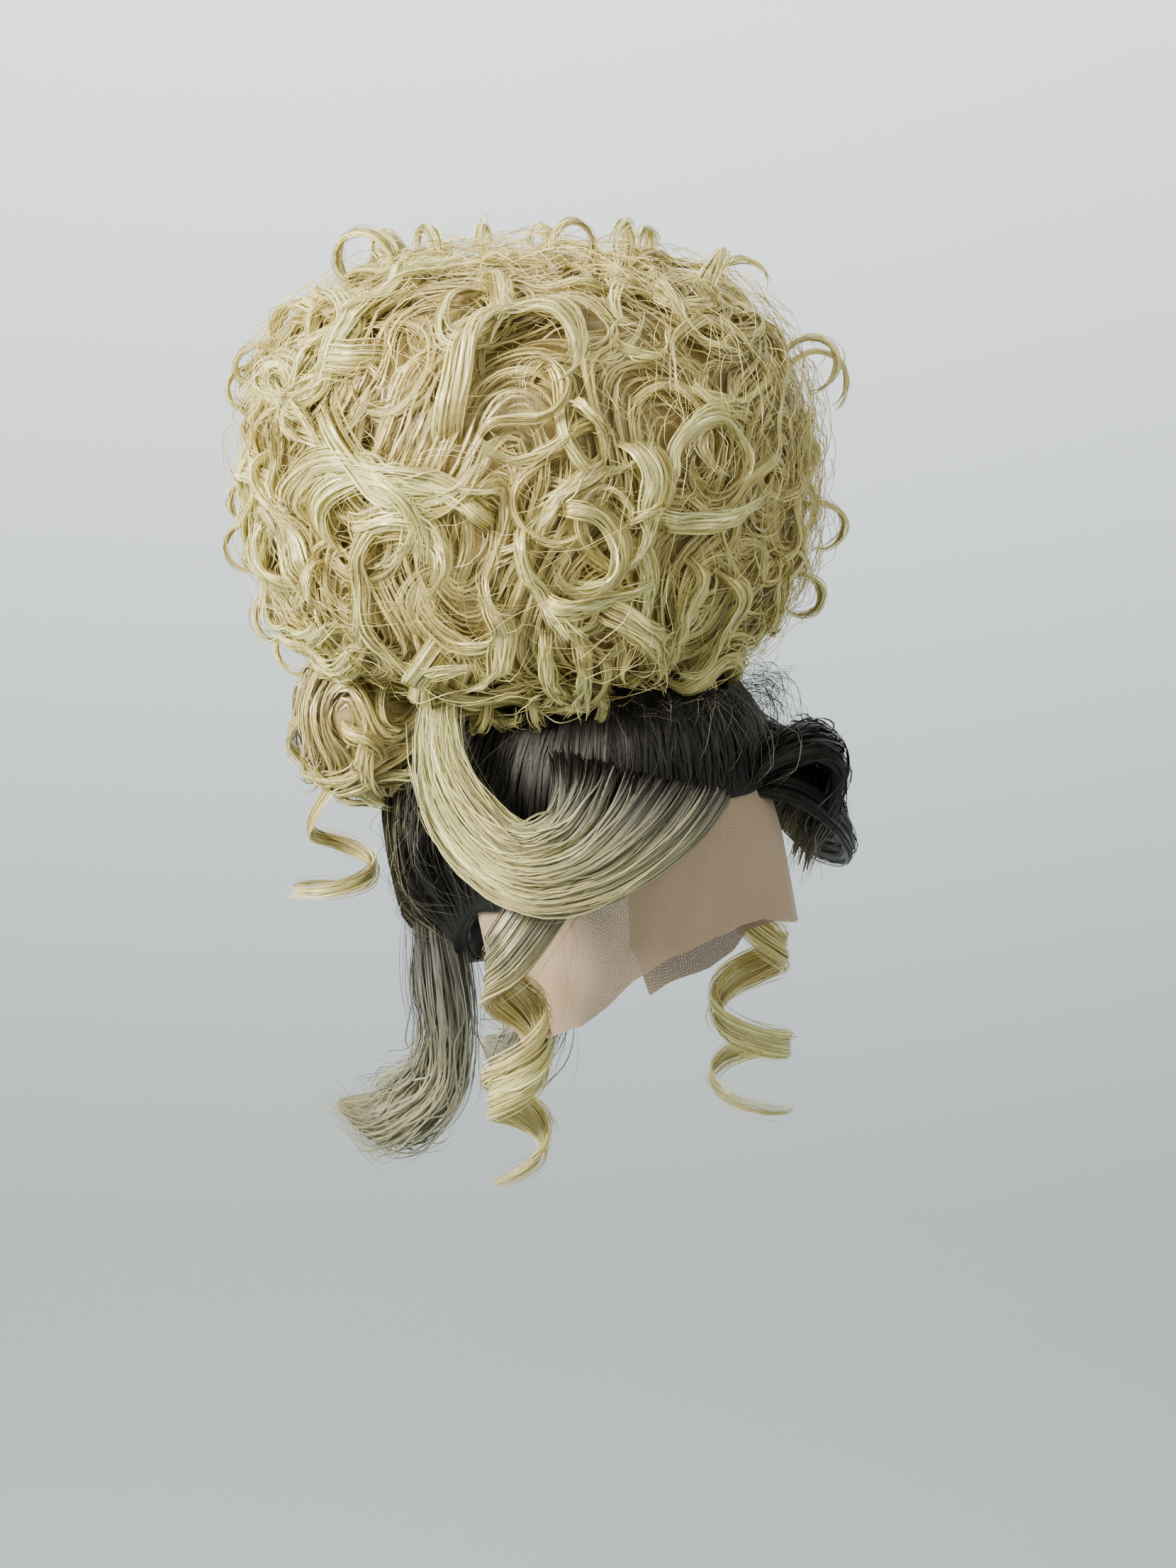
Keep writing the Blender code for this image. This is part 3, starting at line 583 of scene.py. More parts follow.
def curlPath(azimuth, latitude, radius, turns, hand, start):
    seat, _, level, upward = placeOn(updoForm, azimuth, latitude)
    share = np.linspace(-0.25, 1, 150)
    inner = np.clip(share, 0, 1)
    before = np.clip(-share, 0, 1)
    turned = math.radians(start) + hand * 2 * np.pi * turns * curls["unwound"] * share
    reach = curls["radius"] * radius * (1 - curls["closing"] * inner ** curls["tightening"]
                                        + 1.6 * before)
    flat = level * np.cos(turned)[:, None] + upward * np.sin(turned)[:, None]
    spot = seat + flat * reach[:, None]
    height = curls["lift"] * (1 - 4 * before) + 0.004 * inner
    path, up = seatOn(updoForm, spot, height)
    return path, up * 0.8 + flat * 0.6


# Locks that fill the rest: set out by the golden angle, then more at random on the side that
# shows, and broad ones at the back of that side
filling = {"count": 66, "shownCount": 40, "length": (0.060, 0.125), "width": (0.0045, 0.0100),
           "heading": (0, 360), "first": (20, 100), "coil": (90, 330), "lowest": -0.80,
           "lift": (0.002, 0.009), "sink": 0.008, "flatness": 0.40,
           "shownAzimuth": (-150, 45), "shownLatitude": (-42, 78),
           "ramp": [(0, "gold"), (0.5, "blonde"), (1, "pale")]}
broad = {"count": 16, "azimuth": -152, "span": 78, "latitude": (-36, 58),
         "heading": (0, 360), "first": (40, 100), "coil": (60, 210),
         "length": (0.085, 0.140), "lift": (0.006, 0.012), "sink": 0.012,
         "width": (0.012, 0.018), "flatness": 0.32,
         "spec": {"strands": 66, "along": 24, "clumps": 8,
                  "ramp": [(0, "gold"), (0.25, "blonde"), (0.6, "pale")]}}


def buildSweeps(rng):
    stores = [newStore(), newStore()]
    for i, row in enumerate(sweep["rows"]):
        azimuth, latitude, heading, first, coil, length, width, lift = row
        coil = min(max(coil, -sweep["mostCoil"]), sweep["mostCoil"])
        path, hint = sweepPath(updoForm, azimuth, latitude, heading, first, coil, length / 1000,
                               lift / 1000 + sweep["lift"], sweep["sink"])
        wide = width / 1000 * sweep["backWidth" if azimuth < sweep["backFrom"] else "width"]
        addLock(stores[i % 2], rng, path, hint, wide, wide * sweep["flatness"], sweep["spec"])
    makeHair("updoLocksA", stores[1], blonde)
    makeHair("updoLocksB", stores[0], blonde)


def buildCurls(rng):
    rows = list(curls["shown"])
    for latitude, first, step, count in curls["hiddenRows"]:
        made = len(rows) - len(curls["shown"])
        for i in range(count):
            hand = 1 if (i + made) % 2 else -1
            rows.append((first + step * i, latitude, 1.14, 1.15, hand, 75 * made))
    store = newStore()
    for row in rows:
        path, hint = curlPath(*row)
        near = shownShare(path[75])
        spec = {"strands": int(17 + 20 * near), "along": 22, "clumps": 6, "ramp": curls["ramp"]}
        addLock(store, rng, path, hint, curls["width"] * (0.8 + 0.3 * row[2]),
                curls["thickness"], spec)
    makeHair("updoCurls", store, blonde, [f"curl_{i:02d}" for i in range(1, 36)])


def buildFilling(rng):
    stores = [newStore(), newStore()]
    golden = math.pi * (3 - math.sqrt(5))
    for i in range(filling["count"] + filling["shownCount"]):
        if i < filling["count"]:
            height = 1 - (i + 0.5) / filling["count"] * (1 - filling["lowest"])
            azimuth = math.degrees(i * golden) % 360 - 180 + rng.uniform(-8, 8)
            latitude = math.degrees(math.asin(height)) * 0.92 - 2
        else:
            azimuth = rng.uniform(*filling["shownAzimuth"])
            latitude = rng.uniform(*filling["shownLatitude"])
        sign = rng.choice([-1, 1])
        path, hint, wide = drawSweep(rng, updoForm, filling, azimuth, latitude, sign)
        near = shownShare(path[65])
        spec = {"strands": int(13 + 19 * near), "along": 23, "clumps": 5, "coreAlong": 14,
                "ramp": filling["ramp"]}
        addLock(stores[i % 2], rng, path, hint, wide, wide * filling["flatness"], spec)
    for i in range(broad["count"]):
        azimuth = broad["azimuth"] + broad["span"] * (i + rng.random()) / broad["count"]
        path, hint, wide = drawSweep(rng, updoForm, broad, azimuth,
                                     rng.uniform(*broad["latitude"]), 1 if i % 2 else -1)
        addLock(stores[i % 2], rng, path, hint, wide, wide * broad["flatness"], broad["spec"])
    for i, store in enumerate(stores):
        makeHair(f"updoFilling{i + 1}", store, blonde)


updoDraws = np.random.default_rng(11)
buildSweeps(updoDraws)
buildCurls(updoDraws)
buildFilling(updoDraws)


# Loops that stand off the outline: place, yaw, radius share and sweep as the solids have
# them, then more along the photograph's outline and at random
loops = {
    "radius": 0.018, "width": 0.008, "thickness": 0.0040, "closing": 0.35,
    "rows": [(-172, 49, 60, 0.95, 300), (157, 65, 40, 0.75, 310), (46, 62, -35, 0.78, 285),
             (56, 38, 50, 1.05, 235), (45, 17, 80, 1.20, 240), (-147, 16, 90, 0.90, 300),
             (-141, -6, 95, 0.72, 290), (38, -11, 90, 0.95, 280), (-134, -28, 110, 0.85, 300),
             (-128, 50, 55, 1.00, 390), (-30, 64, 10, 0.95, 300), (8, 44, 20, 1.05, 280),
             (30, 22, 60, 1.00, 290), (-138, 22, 80, 0.75, 330), (34, -24, 95, 0.85, 280),
             (-150, 64, 30, 0.80, 300), (12, 66, 0, 0.90, 280), (-135, -14, 80, 0.85, 300),
             (-128, -44, 110, 1.00, 300), (-118, -50, 100, 0.95, 300), (-140, -36, 100, 1.05, 310),
             (-106, -52, 80, 0.90, 280), (-34, -46, 60, 0.70, 300), (-18, -44, 40, 0.75, 300),
             (-50, -48, 100, 0.65, 280), (-2, -42, 60, 0.80, 300), (-70, -50, 40, 0.75, 300)],
    "more": 16, "moreHeight": (-0.5, 0.97), "moreRadius": (0.45, 0.85), "moreSweep": (200, 330),
    "spec": {"strands": 24, "along": 23, "clumps": 4, "open": 0.05, "close": 0.5, "drift": 0.0012,
             "coreAlong": 14,
             "ramp": [(0, "gold"), (0.4, "blonde"), (1, "pale")]},
}


def loopPath(azimuth, latitude, yaw, radius, sweepAngle):
    seat, normal, level, upward = placeOn(updoForm, azimuth, latitude)
    yaw = math.radians(yaw)
    forward = level * math.cos(yaw) + upward * math.sin(yaw)
    size = loops["radius"] * radius
    middle = seat + normal * size * 0.8
    share = np.linspace(0, 1, 120)
    swing = math.radians(-115) + math.radians(sweepAngle + 35) * share
    outward = forward * np.cos(swing)[:, None] + normal * np.sin(swing)[:, None]
    path = middle + outward * (size * (1 - loops["closing"] * share))[:, None]
    drift = np.cross(forward, normal) * (size * 0.5)
    return path + drift * (share - 0.5)[:, None], outward


def buildLoops():
    rng = np.random.default_rng(23)
    rows = list(loops["rows"])
    for i in range(loops["more"]):
        azimuth = rng.uniform(-180, 180)
        latitude = math.degrees(math.asin(rng.uniform(*loops["moreHeight"])))
        rows.append((azimuth, latitude, rng.uniform(0, 180), rng.uniform(*loops["moreRadius"]),
                     rng.uniform(*loops["moreSweep"])))
    store = newStore()
    for row in rows:
        path, hint = loopPath(*row)
        addLock(store, rng, path, hint, loops["width"] * (0.6 + 0.5 * row[3]),
                loops["thickness"], loops["spec"])
    makeHair("updoLoops", store, blonde, [f"loop_{i:02d}" for i in range(1, 10)])


buildLoops()


# The combed mass under the locks: its strands follow the contours of a rolling pattern, so
# that they lie side by side in waves and swirls, and each contour band stands up as a ridge
flow = {"waves": 6, "wavelength": (0.075, 0.140), "ridge": 0.014, "ridgeHeight": 0.0050,
        "along": 13, "stride": 0.0055, "wisp": (0.0010, 0.0016)}
mass = {
    "around": 110, "down": 60, "sink": 0.002, "strands": 4300, "lowest": -0.95,
    "frizz": {"count": 1300, "along": 11, "length": (0.03, 0.08), "curl": (0.002, 0.007),
              "proud": (0.002, 0.012), "lowest": -0.9},
    "frizzWidth": (0.0003, 0.0005), "frizzRoll": 0.8,
    "flyaway": {"count": 1400, "along": 14, "length": (0.03, 0.08), "curl": (0.002, 0.008),
                "proud": (0.005, 0.014), "lowest": -0.7},
    "flyawayWidth": (0.00030, 0.00046), "arch": 0.008,
}


def scatter(rng, form, count, lowest):
    height = rng.uniform(lowest, 1, count)
    azimuth = rng.uniform(0, 2 * np.pi, count)
    ring = np.sqrt(1 - height**2)
    aim = np.stack([ring * np.sin(azimuth), -ring * np.cos(azimuth), height], axis=-1)
    return seatOn(form, np.array(form["centre"]) + aim * np.array(form["size"]))


def addFlow(store, rng, form, count, lowest):
    turns = unit(rng.normal(size=(flow["waves"], 3)))
    turns = turns * (2 * np.pi / rng.uniform(*flow["wavelength"], (flow["waves"], 1)))
    phases = rng.uniform(0, 6.3, flow["waves"])
    reach = 1 / np.linalg.norm(turns, axis=1)
    along = flow["along"]
    place, normal = scatter(rng, form, count, lowest)
    places, ups, bands = [], [], []
    for k in range(along):
        angle = place @ turns.T + phases
        slope = (np.cos(angle) * reach) @ turns
        going = unit(np.cross(normal, slope))
        places.append(place)
        ups.append(normal)
        bands.append((np.sin(angle) * reach).sum(-1) / flow["ridge"])
        place, normal = seatOn(form, place + going * flow["stride"])
    paths = np.stack(places, axis=1)
    ups = np.stack(ups, axis=1)
    band = np.stack(bands, axis=1)
    share = np.linspace(0, 1, along)[None, :]
    ridge = np.abs(np.sin(np.pi * band))
    ends = smoothStep(share / 0.2) * smoothStep((1 - share) / 0.2)
    height = flow["ridgeHeight"] * ridge + rng.uniform(-0.0003, 0.0006, (count, 1))
    paths = paths + ups * (height * ends - 0.0022 * (1 - ends))[..., None]
    paths = paths + smoothNoise(rng, count, along, 5) * 0.0006
    which = np.floor(band).astype(int) % 17
    tint = rng.uniform(0.90, 1.06, 17)[which]
    # painted light and shade: strands on a ridge's crest lighter, those in the troughs between
    # ridges darker, with a random tint for each band
    shade = (0.54 + 0.44 * ridge + rng.normal(0, 0.045, (count, 1))) * tint
    tones = rampTone([(0, "shadow"), (0.30, "deepGold"), (0.65, "gold"), (1, "blonde")],
                     0.25 + 0.50 * ridge + rng.normal(0, 0.08, (count, 1)))
    tones = np.clip(tones * shade[..., None], 0, 0.97)
    across = np.cross(ups, unit(np.gradient(paths, axis=1)))
    addRibbons(store, rng, paths, across, rng.uniform(*flow["wisp"], count), tones, roll=0.25)


def addShell(store, form, around, down, sink):
    around = np.linspace(0, 2 * np.pi, around, endpoint=False)
    down = np.linspace(0.001, np.pi - 0.001, down)
    aim = np.stack([np.sin(down)[:, None] * np.sin(around)[None, :],
                    -np.sin(down)[:, None] * np.cos(around)[None, :],
                    np.repeat(np.cos(down)[:, None], len(around), axis=1)], axis=-1)
    points, normal = seatOn(form, np.array(form["centre"]) + aim * np.array(form["size"]), -sink)
    maps = mapGrid(around[None, :] * 120, down[:, None] * 120)
    addGrid(store, points[None], hair["shadow"], maps[None], solid=True)


def frizzPaths(rng, form, count, along, length, curl, proud, lowest):
    # soft arcs with a small wave, laid over the form's surface
    seat, normal = scatter(rng, form, count, lowest)
    heading = unit(np.cross(normal, rng.normal(size=(count, 3))))
    sideways = np.cross(normal, heading)
    share = np.linspace(0, 1, along)[None, :, None]
    reach = rng.uniform(*length, (count, 1, 1))
    arc = rng.normal(0, 1.0, (count, 1, 1))
    wave = rng.uniform(*curl, (count, 1, 1))
    turned = rng.uniform(0, 6.3, (count, 1, 1)) + share * rng.uniform(2, 7, (count, 1, 1))
    angle = arc * (share - 0.5) * 2
    flat = seat[:, None] + heading[:, None] * (reach * (share - 0.5) * np.cos(angle * 0.7))
    flat = flat + sideways[:, None] * (reach * (share - 0.5) * np.sin(angle) * 0.6
                                       + wave * np.sin(turned))
    paths, up = seatOn(form, flat)
    height = rng.uniform(*proud, (count, 1, 1)) + wave * 0.5 * np.cos(turned)
    paths = paths + up * height + smoothNoise(rng, count, along, 6) * 0.0016
    return paths, up


def buildMass():
    rng = np.random.default_rng(5)
    store = newStore()
    addShell(store, updoForm, mass["around"], mass["down"], mass["sink"])
    addFlow(store, rng, updoForm, mass["strands"], mass["lowest"])
    makeHair("updoCore", store, blonde, ["updo_mass"])

    store = newStore()
    paths, up = frizzPaths(rng, updoForm, **mass["frizz"])
    tones = strandTones(rng, [(0, "deepGold"), (0.6, "gold"), (1, "pale")], paths)
    addRibbons(store, rng, paths, up, rng.uniform(*mass["frizzWidth"], len(paths)), tones,
               roll=mass["frizzRoll"])
    paths, up = frizzPaths(rng, updoForm, **mass["flyaway"])
    count, along = paths.shape[:2]
    arch = rng.uniform(0.0, mass["arch"], (count, 1, 1))
    paths = paths + up * (arch * np.sin(np.pi * np.linspace(0, 1, along)[None, :, None]))
    tones = strandTones(rng, [(0, "gold"), (1, "pale")], paths)
    addRibbons(store, rng, paths, up, rng.uniform(*mass["flyawayWidth"], count), tones)
    makeHair("updoFlyaways", store, [blondeFrizz])


buildMass()


# The puff below the updo at the back
puff = {"locks": 32, "length": (0.06, 0.11), "width": (0.006, 0.011), "coil": (100, 320),
        "azimuth": (50, 310), "latitude": (-40, 60), "heading": (180, 360), "first": (20, 90),
        "lift": (0.002, 0.008), "sink": 0.008, "flatness": 0.4, "strands": 1500,
        "lowest": -0.98, "around": 60, "down": 34, "shellSink": 0.002,
        "spec": {"strands": 26, "along": 20, "coreAlong": 14,
                 "ramp": [(0, "gold"), (0.5, "blonde"), (1, "pale")]}}


def buildPuff():
    rng = np.random.default_rng(51)
    store = newStore()
    addShell(store, puffForm, puff["around"], puff["down"], puff["shellSink"])
    addFlow(store, rng, puffForm, puff["strands"], puff["lowest"])
    for i in range(puff["locks"]):
        sign = rng.choice([-1, 1])
        path, hint, wide = drawSweep(rng, puffForm, puff, rng.uniform(*puff["azimuth"]),
                                     rng.uniform(*puff["latitude"]), sign)
        addLock(store, rng, path, hint, wide, wide * puff["flatness"], puff["spec"])
    makeHair("backPuff", store, blonde, ["back_puff"])


buildPuff()


# Dark roots combed up over the cap: a ridged shell with strands on it
roots = {"around": 128, "down": 32, "ridge": 0.0008, "ridges": 26, "strands": 2400, "along": 12,
         "start": (0.35, 1.0), "reach": (0.25, 0.6), "proud": (0.0002, 0.0022),
         "greyFrom": 112, "greySpan": 22, "width": (0.0010, 0.0020),
         "ramp": [(0, "black"), (0.3, "charcoal"), (0.6, "grey"), (0.9, "silver"), (1, "ash")]}


def buildRoots():
    rng = np.random.default_rng(61)
    store = newStore()
    azimuth = np.linspace(-180, 180, roots["around"], endpoint=False)[None, :]
    share = np.linspace(0.02, 1, roots["down"])[:, None]
    ridge = roots["ridge"] * np.sin(np.radians(azimuth) * roots["ridges"]
                                    + 2 * np.sin(share * 4))
    ridge = ridge * smoothStep((1 - share) / 0.3)
    base = headForm["capWall"] + headForm["gap"]
    points = headPoint(azimuth, shellLevel(azimuth, share),
                       base + rootDepth(azimuth, share) + ridge)
    inner = headPoint(azimuth, shellLevel(azimuth, share[-1:]), base)
    points = np.concatenate([points, inner], axis=0)
    share = np.concatenate([share, [[1.03]]])
    maps = mapGrid(azimuth * 1.6, share * 120)
    addGrid(store, points[None], hair["black"], maps[None], solid=True)

    count, along = roots["strands"], roots["along"]
    azimuth = rng.uniform(-180, 180, (count, 1))
    first = rng.uniform(*roots["start"], (count, 1)) ** 0.6
    share = first - np.linspace(0, 1, along)[None, :] * rng.uniform(*roots["reach"], (count, 1))
    share = np.clip(share, 0.05, 1)
    sway = azimuth + rng.normal(0, 1.5, (count, 1)) * np.linspace(0, 3, along)[None, :]
    offset = base + rootDepth(sway, share) + rng.uniform(*roots["proud"], (count, 1))
    paths = headPoint(sway, shellLevel(sway, share), offset)
    backness = smoothStep((np.abs(azimuth) - roots["greyFrom"]) / roots["greySpan"])
    lowness = smoothStep((share - 0.25) / 0.30)
    light = (0.25 + 0.75 * rng.random((count, 1))) * backness * lowness
    tones = rampTone(roots["ramp"], light + rng.random((count, 1)) ** 2 * 0.25)
    across = np.cross(unit(paths - headMiddle), unit(np.gradient(paths, axis=1)))
    addRibbons(store, rng, paths, across, rng.uniform(*roots["width"], count), tones)
    makeHair("combedRoots", store, dark, ["root_hair"])


buildRoots()


# Front waves, swept from the parting out over the brow and back up into the updo
frontWave = {
    # upper azimuth, level and stand-off, then the same for the lower edge
    "stations": np.array([
        (82, 0.64, 0.08, 6, 0.38, 0.02), (75, 0.52, 0.20, 20, 0.28, 0.30),
        (70, 0.38, 0.36, 37, 0.12, 0.62), (70, 0.25, 0.54, 56, -0.03, 0.88),
        (79, 0.21, 0.72, 76, -0.04, 0.98), (95, 0.45, 0.86, 96, 0.18, 0.98),
        (114, 0.88, 0.88, 112, 0.62, 0.96)]),
    "standOff": 0.050, "bulge": 0.008, "locks": 17, "sunk": 0.008,
    "shift": 0.17,  # how much later the tones come on the upper locks than on the middle one
    "spec": {"along": 26, "clumps": 5, "open": 0.05, "close": 0.10, "core": 0.80,
             "corePaintedShade": 0.6, "coreAlong": 30, "twist": 0.10, "drift": 0.0012, "loose": 0.0010,
             "stray": 0.2, "earlyEnd": 0.10, "shadeSpread": 0.17},
    "frontWaveRight": {"side": -1, "node": "wave_right", "fullness": 1.0, "sag": 0.0,
                       "strands": 72,
                       "ramp": [(0.09, "black"), (0.16, "charcoal"), (0.26, "grey"),
                                (0.39, "silver"), (0.56, "ash"), (0.74, "blonde"),
                                (1, "pale")]},
    "frontWaveLeft": {"side": 1, "node": "wave_left", "fullness": 1.4, "sag": 0.22,
                      "strands": 44,
                      "ramp": [(0.42, "black"), (0.52, "charcoal"), (0.64, "grey"),
                               (0.78, "ash"), (1, "blonde")]},
}


def curveValues(values, share):
    at = np.clip(share, 0, 1) * (len(values) - 1)
    i = np.minimum(at.astype(int), len(values) - 2)
    t = (at - i)[..., None]
    before = values[np.maximum(i - 1, 0)]
    after = values[np.minimum(i + 2, len(values) - 1)]
    a, b = values[i], values[i + 1]
    return a + 0.5 * t * (b - before + t * (2 * before - 5 * a + 4 * b - after
                                            + t * (3 * (a - b) + after - before)))


def wavePoint(data, height, share):
    at = curveValues(frontWave["stations"], share)
    azimuth = at[..., 0] * (1 - height) + at[..., 3] * height
    low = at[..., 4] - data["sag"] * np.sin(np.pi * share)
    level = at[..., 1] * (1 - height) + low * height
    off = at[..., 2] * (1 - height) + at[..., 5] * height
    swell = np.sin(np.pi * height) * np.sin(np.pi * share)
    return headPoint(data["side"] * azimuth, level,
                     off * data["fullness"] * frontWave["standOff"] + swell * frontWave["bulge"])


def buildFrontWave(name):
    rng = np.random.default_rng(71)
    data = frontWave[name]
    store = newStore()
    share = np.linspace(0, 1, 140)
    gap = 1 / frontWave["locks"]
    for i in range(frontWave["locks"]):
        height = (i + 0.5) * gap
        wander = 0.35 * gap * np.sin(share * rng.uniform(3, 6) + rng.uniform(0, 6))
        height = height + wander + rng.normal(0, 0.15) * gap
        path = wavePoint(data, height, share)
        step = wavePoint(data, height + gap, share) - path
        tangent = unit(np.gradient(path, axis=0))
        outward = unit(np.cross(tangent, step))
        outward = outward * np.sign(((path - headMiddle) * outward).sum(-1))[:, None]
        spacing = np.linalg.norm(step, axis=1)
        relief = rng.uniform(-0.002, 0.0025) * np.sin(np.pi * share)
        relief = relief - frontWave["sunk"] * (1 - smoothStep(share / 0.15))
        path = path + outward * relief[:, None]
        shift = frontWave["shift"] * (1 - height.mean() * 2)
        ramp = [(max(0, place + shift * (1 - place)), tint) for place, tint in data["ramp"]]
        addLock(store, rng, path, outward, np.maximum(spacing * 1.7, 0.004),
                np.clip(spacing * 1.1, 0.004, 0.008),
                {**frontWave["spec"], "strands": data["strands"], "ramp": ramp})
    if data["side"] > 0:
        addFall(store, rng)
    makeHair(name, store, dark, [data["node"]])


# On the left the front hair also rises from the parting and falls over in a rounded lobe
fall = {"locks": 14, "peak": (0.033, 0.040), "rootAzimuth": (6, 28), "tipAzimuth": (38, 68),
        "rootLevel": 0.38, "arch": 0.12, "tipLevel": (-0.24, -0.04), "width": 0.014,
        "thickness": 0.010,
        "spec": {"strands": 42, "along": 25, "clumps": 6, "open": 0.05, "close": 0.34,
                 "core": 0.7, "corePaintedShade": 0.8, "twist": 0.2, "drift": 0.0026, "loose": 0.0016,
                 "wisp": (0.0008, 0.0014), "shadeSpread": 0.15,
                 "ramp": [(0.62, "black"), (0.74, "charcoal"), (0.90, "grey"), (1, "ash")]}}


def addFall(store, rng):
    share = np.linspace(0, 1, 120)
    for i in range(fall["locks"]):
        place = (i + 0.5) / fall["locks"]
        first = np.interp(place, (0, 1), fall["rootAzimuth"])
        last = np.interp(place, (0, 1), fall["tipAzimuth"])
        azimuth = first + (last - first) * share ** 0.8
        low = rng.uniform(*fall["tipLevel"])
        level = (fall["rootLevel"] + fall["arch"] * np.sin(np.pi * share)
                 + (low - fall["rootLevel"]) * share ** 1.6)
        peak = rng.uniform(*fall["peak"])
        off = peak * (np.sin(np.pi / 2 * np.clip(share / 0.55, 0, 1))
                      - 0.42 * smoothStep((share - 0.5) / 0.5))
        path = headPoint(azimuth, level, 0.002 + off)
        addLock(store, rng, path, unit(path - headMiddle), fall["width"], fall["thickness"],
                fall["spec"])


buildFrontWave("frontWaveRight")
buildFrontWave("frontWaveLeft")


# Fine stray hairs that stand off the combed hair
strays = {"count": 330, "along": 11, "length": (0.03, 0.07), "proud": (0.010, 0.030),
          "azimuth": (-178, 60), "highest": 0.62, "width": (0.00020, 0.00032),
          "ramp": [(0, "black"), (0.5, "charcoal"), (0.85, "grey"), (1, "silver")]}


def buildStrays():
    rng = np.random.default_rng(131)
    count, along = strays["count"], strays["along"]
    share = np.linspace(0, 1, along)[None, :]
    start = rng.uniform(*strays["azimuth"], (count, 1))
    azimuth = start + rng.normal(0, 12, (count, 1)) * share
    reach = rng.uniform(*strays["length"], (count, 1)) / 0.11
    level = hairlineLevel(start) + rng.uniform(0.0, 0.45, (count, 1)) + reach * share
    level = np.minimum(level, strays["highest"] + 0.1 * share)
    off = 0.010 + rng.uniform(*strays["proud"], (count, 1)) * np.sin(np.pi * share ** 0.7)
    paths = headPoint(azimuth, level, off) + smoothNoise(rng, count, along, 5) * 0.0035
    tones = strandTones(rng, strays["ramp"], paths)
    store = newStore()
    addRibbons(store, rng, paths, unit(paths - headMiddle),
               rng.uniform(*strays["width"], count), tones)
    makeHair("strayHairs", store, dark[1:])


buildStrays()


# Ringlets and the loose tendril, which wind down around a plumb axis
ringlets = {
    "ringletRight": {"node": "ringlet_right", "side": -1, "root": (-64, 0.18, 0.0045),
                     "axis": (-0.108, -0.026), "top": -0.115, "length": 0.154, "turns": 2.39,
                     "phase": -87, "tightening": 1.35, "radius": (0.0128, 0.0136),
                     "width": 0.026, "strands": 230},
    "ringletLeft": {"node": "ringlet_left", "side": 1, "root": (64, 0.18, 0.0045),
                    "axis": (0.108, -0.026), "top": -0.115, "length": 0.182, "turns": 2.52,
                    "phase": 119, "tightening": 2.0, "radius": (0.0128, 0.0256),
                    "width": 0.018, "strands": 130},
    "backTendril": {"node": "back_tendril", "side": -1, "start": (-0.026, 0.130, -0.044),
                    "axis": (-0.052, 0.154), "top": -0.100, "length": 0.062, "turns": 1.50,
                    "phase": 20, "tightening": 2.4, "radius": (0.00975, 0.0273),
                    "width": 0.0085, "strands": 50, "ramp": [(0, "blonde"), (1, "pale")]},
}
ringletSpec = {"along": 50, "open": 0.04, "close": 0.30, "coreAlong": 60, "clumps": 7,
               "drift": 0.0014, "twist": 0.15}
ringletRamp = [(0, "charcoal"), (0.10, "grey"), (0.20, "silver"), (0.32, "gold"),
               (0.48, "blonde"), (0.72, "pale")]


def windingPath(data, root):
    share = np.linspace(0, 1, 260)
    wound = data["turns"] * share ** data["tightening"]
    turned = math.radians(data["phase"]) + 2 * np.pi * wound
    reach = data["radius"][0] + (data["radius"][1] - data["radius"][0]) * share
    outward = np.stack([np.cos(turned) * data["side"], np.sin(turned), 0 * turned], axis=-1)
    spot = outward * reach[:, None]
    spot[:, 0] += data["axis"][0]
    spot[:, 1] += data["axis"][1]
    spot[:, 2] += data["top"] - data["length"] * share
    joined = smoothStep(share / 0.17)[:, None]
    away = np.array([data["side"], 0.0, 0.0])
    return root * (1 - joined) + spot * joined, away * (1 - joined) + outward * joined


def buildRinglets():
    rng = np.random.default_rng(83)
    for name, data in ringlets.items():
        store = newStore()
        start = headPoint(*data["root"]) if "root" in data else np.array(data["start"])
        path, hint = windingPath(data, start)
        addLock(store, rng, path, hint, data["width"], data["width"] * 0.32,
                {**ringletSpec, "strands": data["strands"],
                 "ramp": data.get("ramp", ringletRamp)})
        makeHair(name, store, blonde, [data["node"]])


buildRinglets()


# Locks that fall from the nape and flip out behind
napeLock = {
    # shares of the drop, the flip, the spread, the width and the thickness
    "stations": np.array([(-0.40, 0.20, 0.20, 0.60, 0.80), (0.10, 0.12, 0.25, 0.85, 1.00),
                          (0.45, 0.12, 0.15, 0.80, 0.95), (0.80, 0.24, 0.25, 0.95, 1.05),
                          (1.02, 0.58, 0.60, 1.15, 1.20), (0.98, 1.02, 0.95, 1.05, 1.05)]),
    "root": (150, -0.70, 0.010),
    "drop": 0.095, "flip": 0.072, "spread": 0.030, "width": 0.042, "thickness": 0.026,
    "spec": {"along": 30, "clumps": 11, "open": 0.05, "close": 0.16, "core": 0.70,
             "coreAlong": 40, "drift": 0.0040, "loose": 0.0024, "earlyEnd": 0.34, "twist": 0.1,
             "shadeSpread": 0.12,
             "ramp": [(0, "charcoal"), (0.2, "grey"), (0.6, "silver"), (0.9, "silver"),
                      (1, "ash")]},
}


def buildNapeLock(name, side, node, strands):
    rng = np.random.default_rng(97)
    at = curveValues(napeLock["stations"], np.linspace(0, 1, 140))
    azimuth, level, offset = napeLock["root"]
    path = headPoint(side * azimuth, level, offset) + np.stack(
        [at[:, 2] * napeLock["spread"] * side, at[:, 1] * napeLock["flip"],
         -at[:, 0] * napeLock["drop"]], axis=-1)
    hint = np.broadcast_to(np.array([float(side), 0, 0]), path.shape)
    store = newStore()
    addLock(store, rng, path, hint, at[:, 3] * napeLock["width"],
            at[:, 4] * napeLock["thickness"], {**napeLock["spec"], "strands": strands})
    makeHair(name, store, dark, [node])


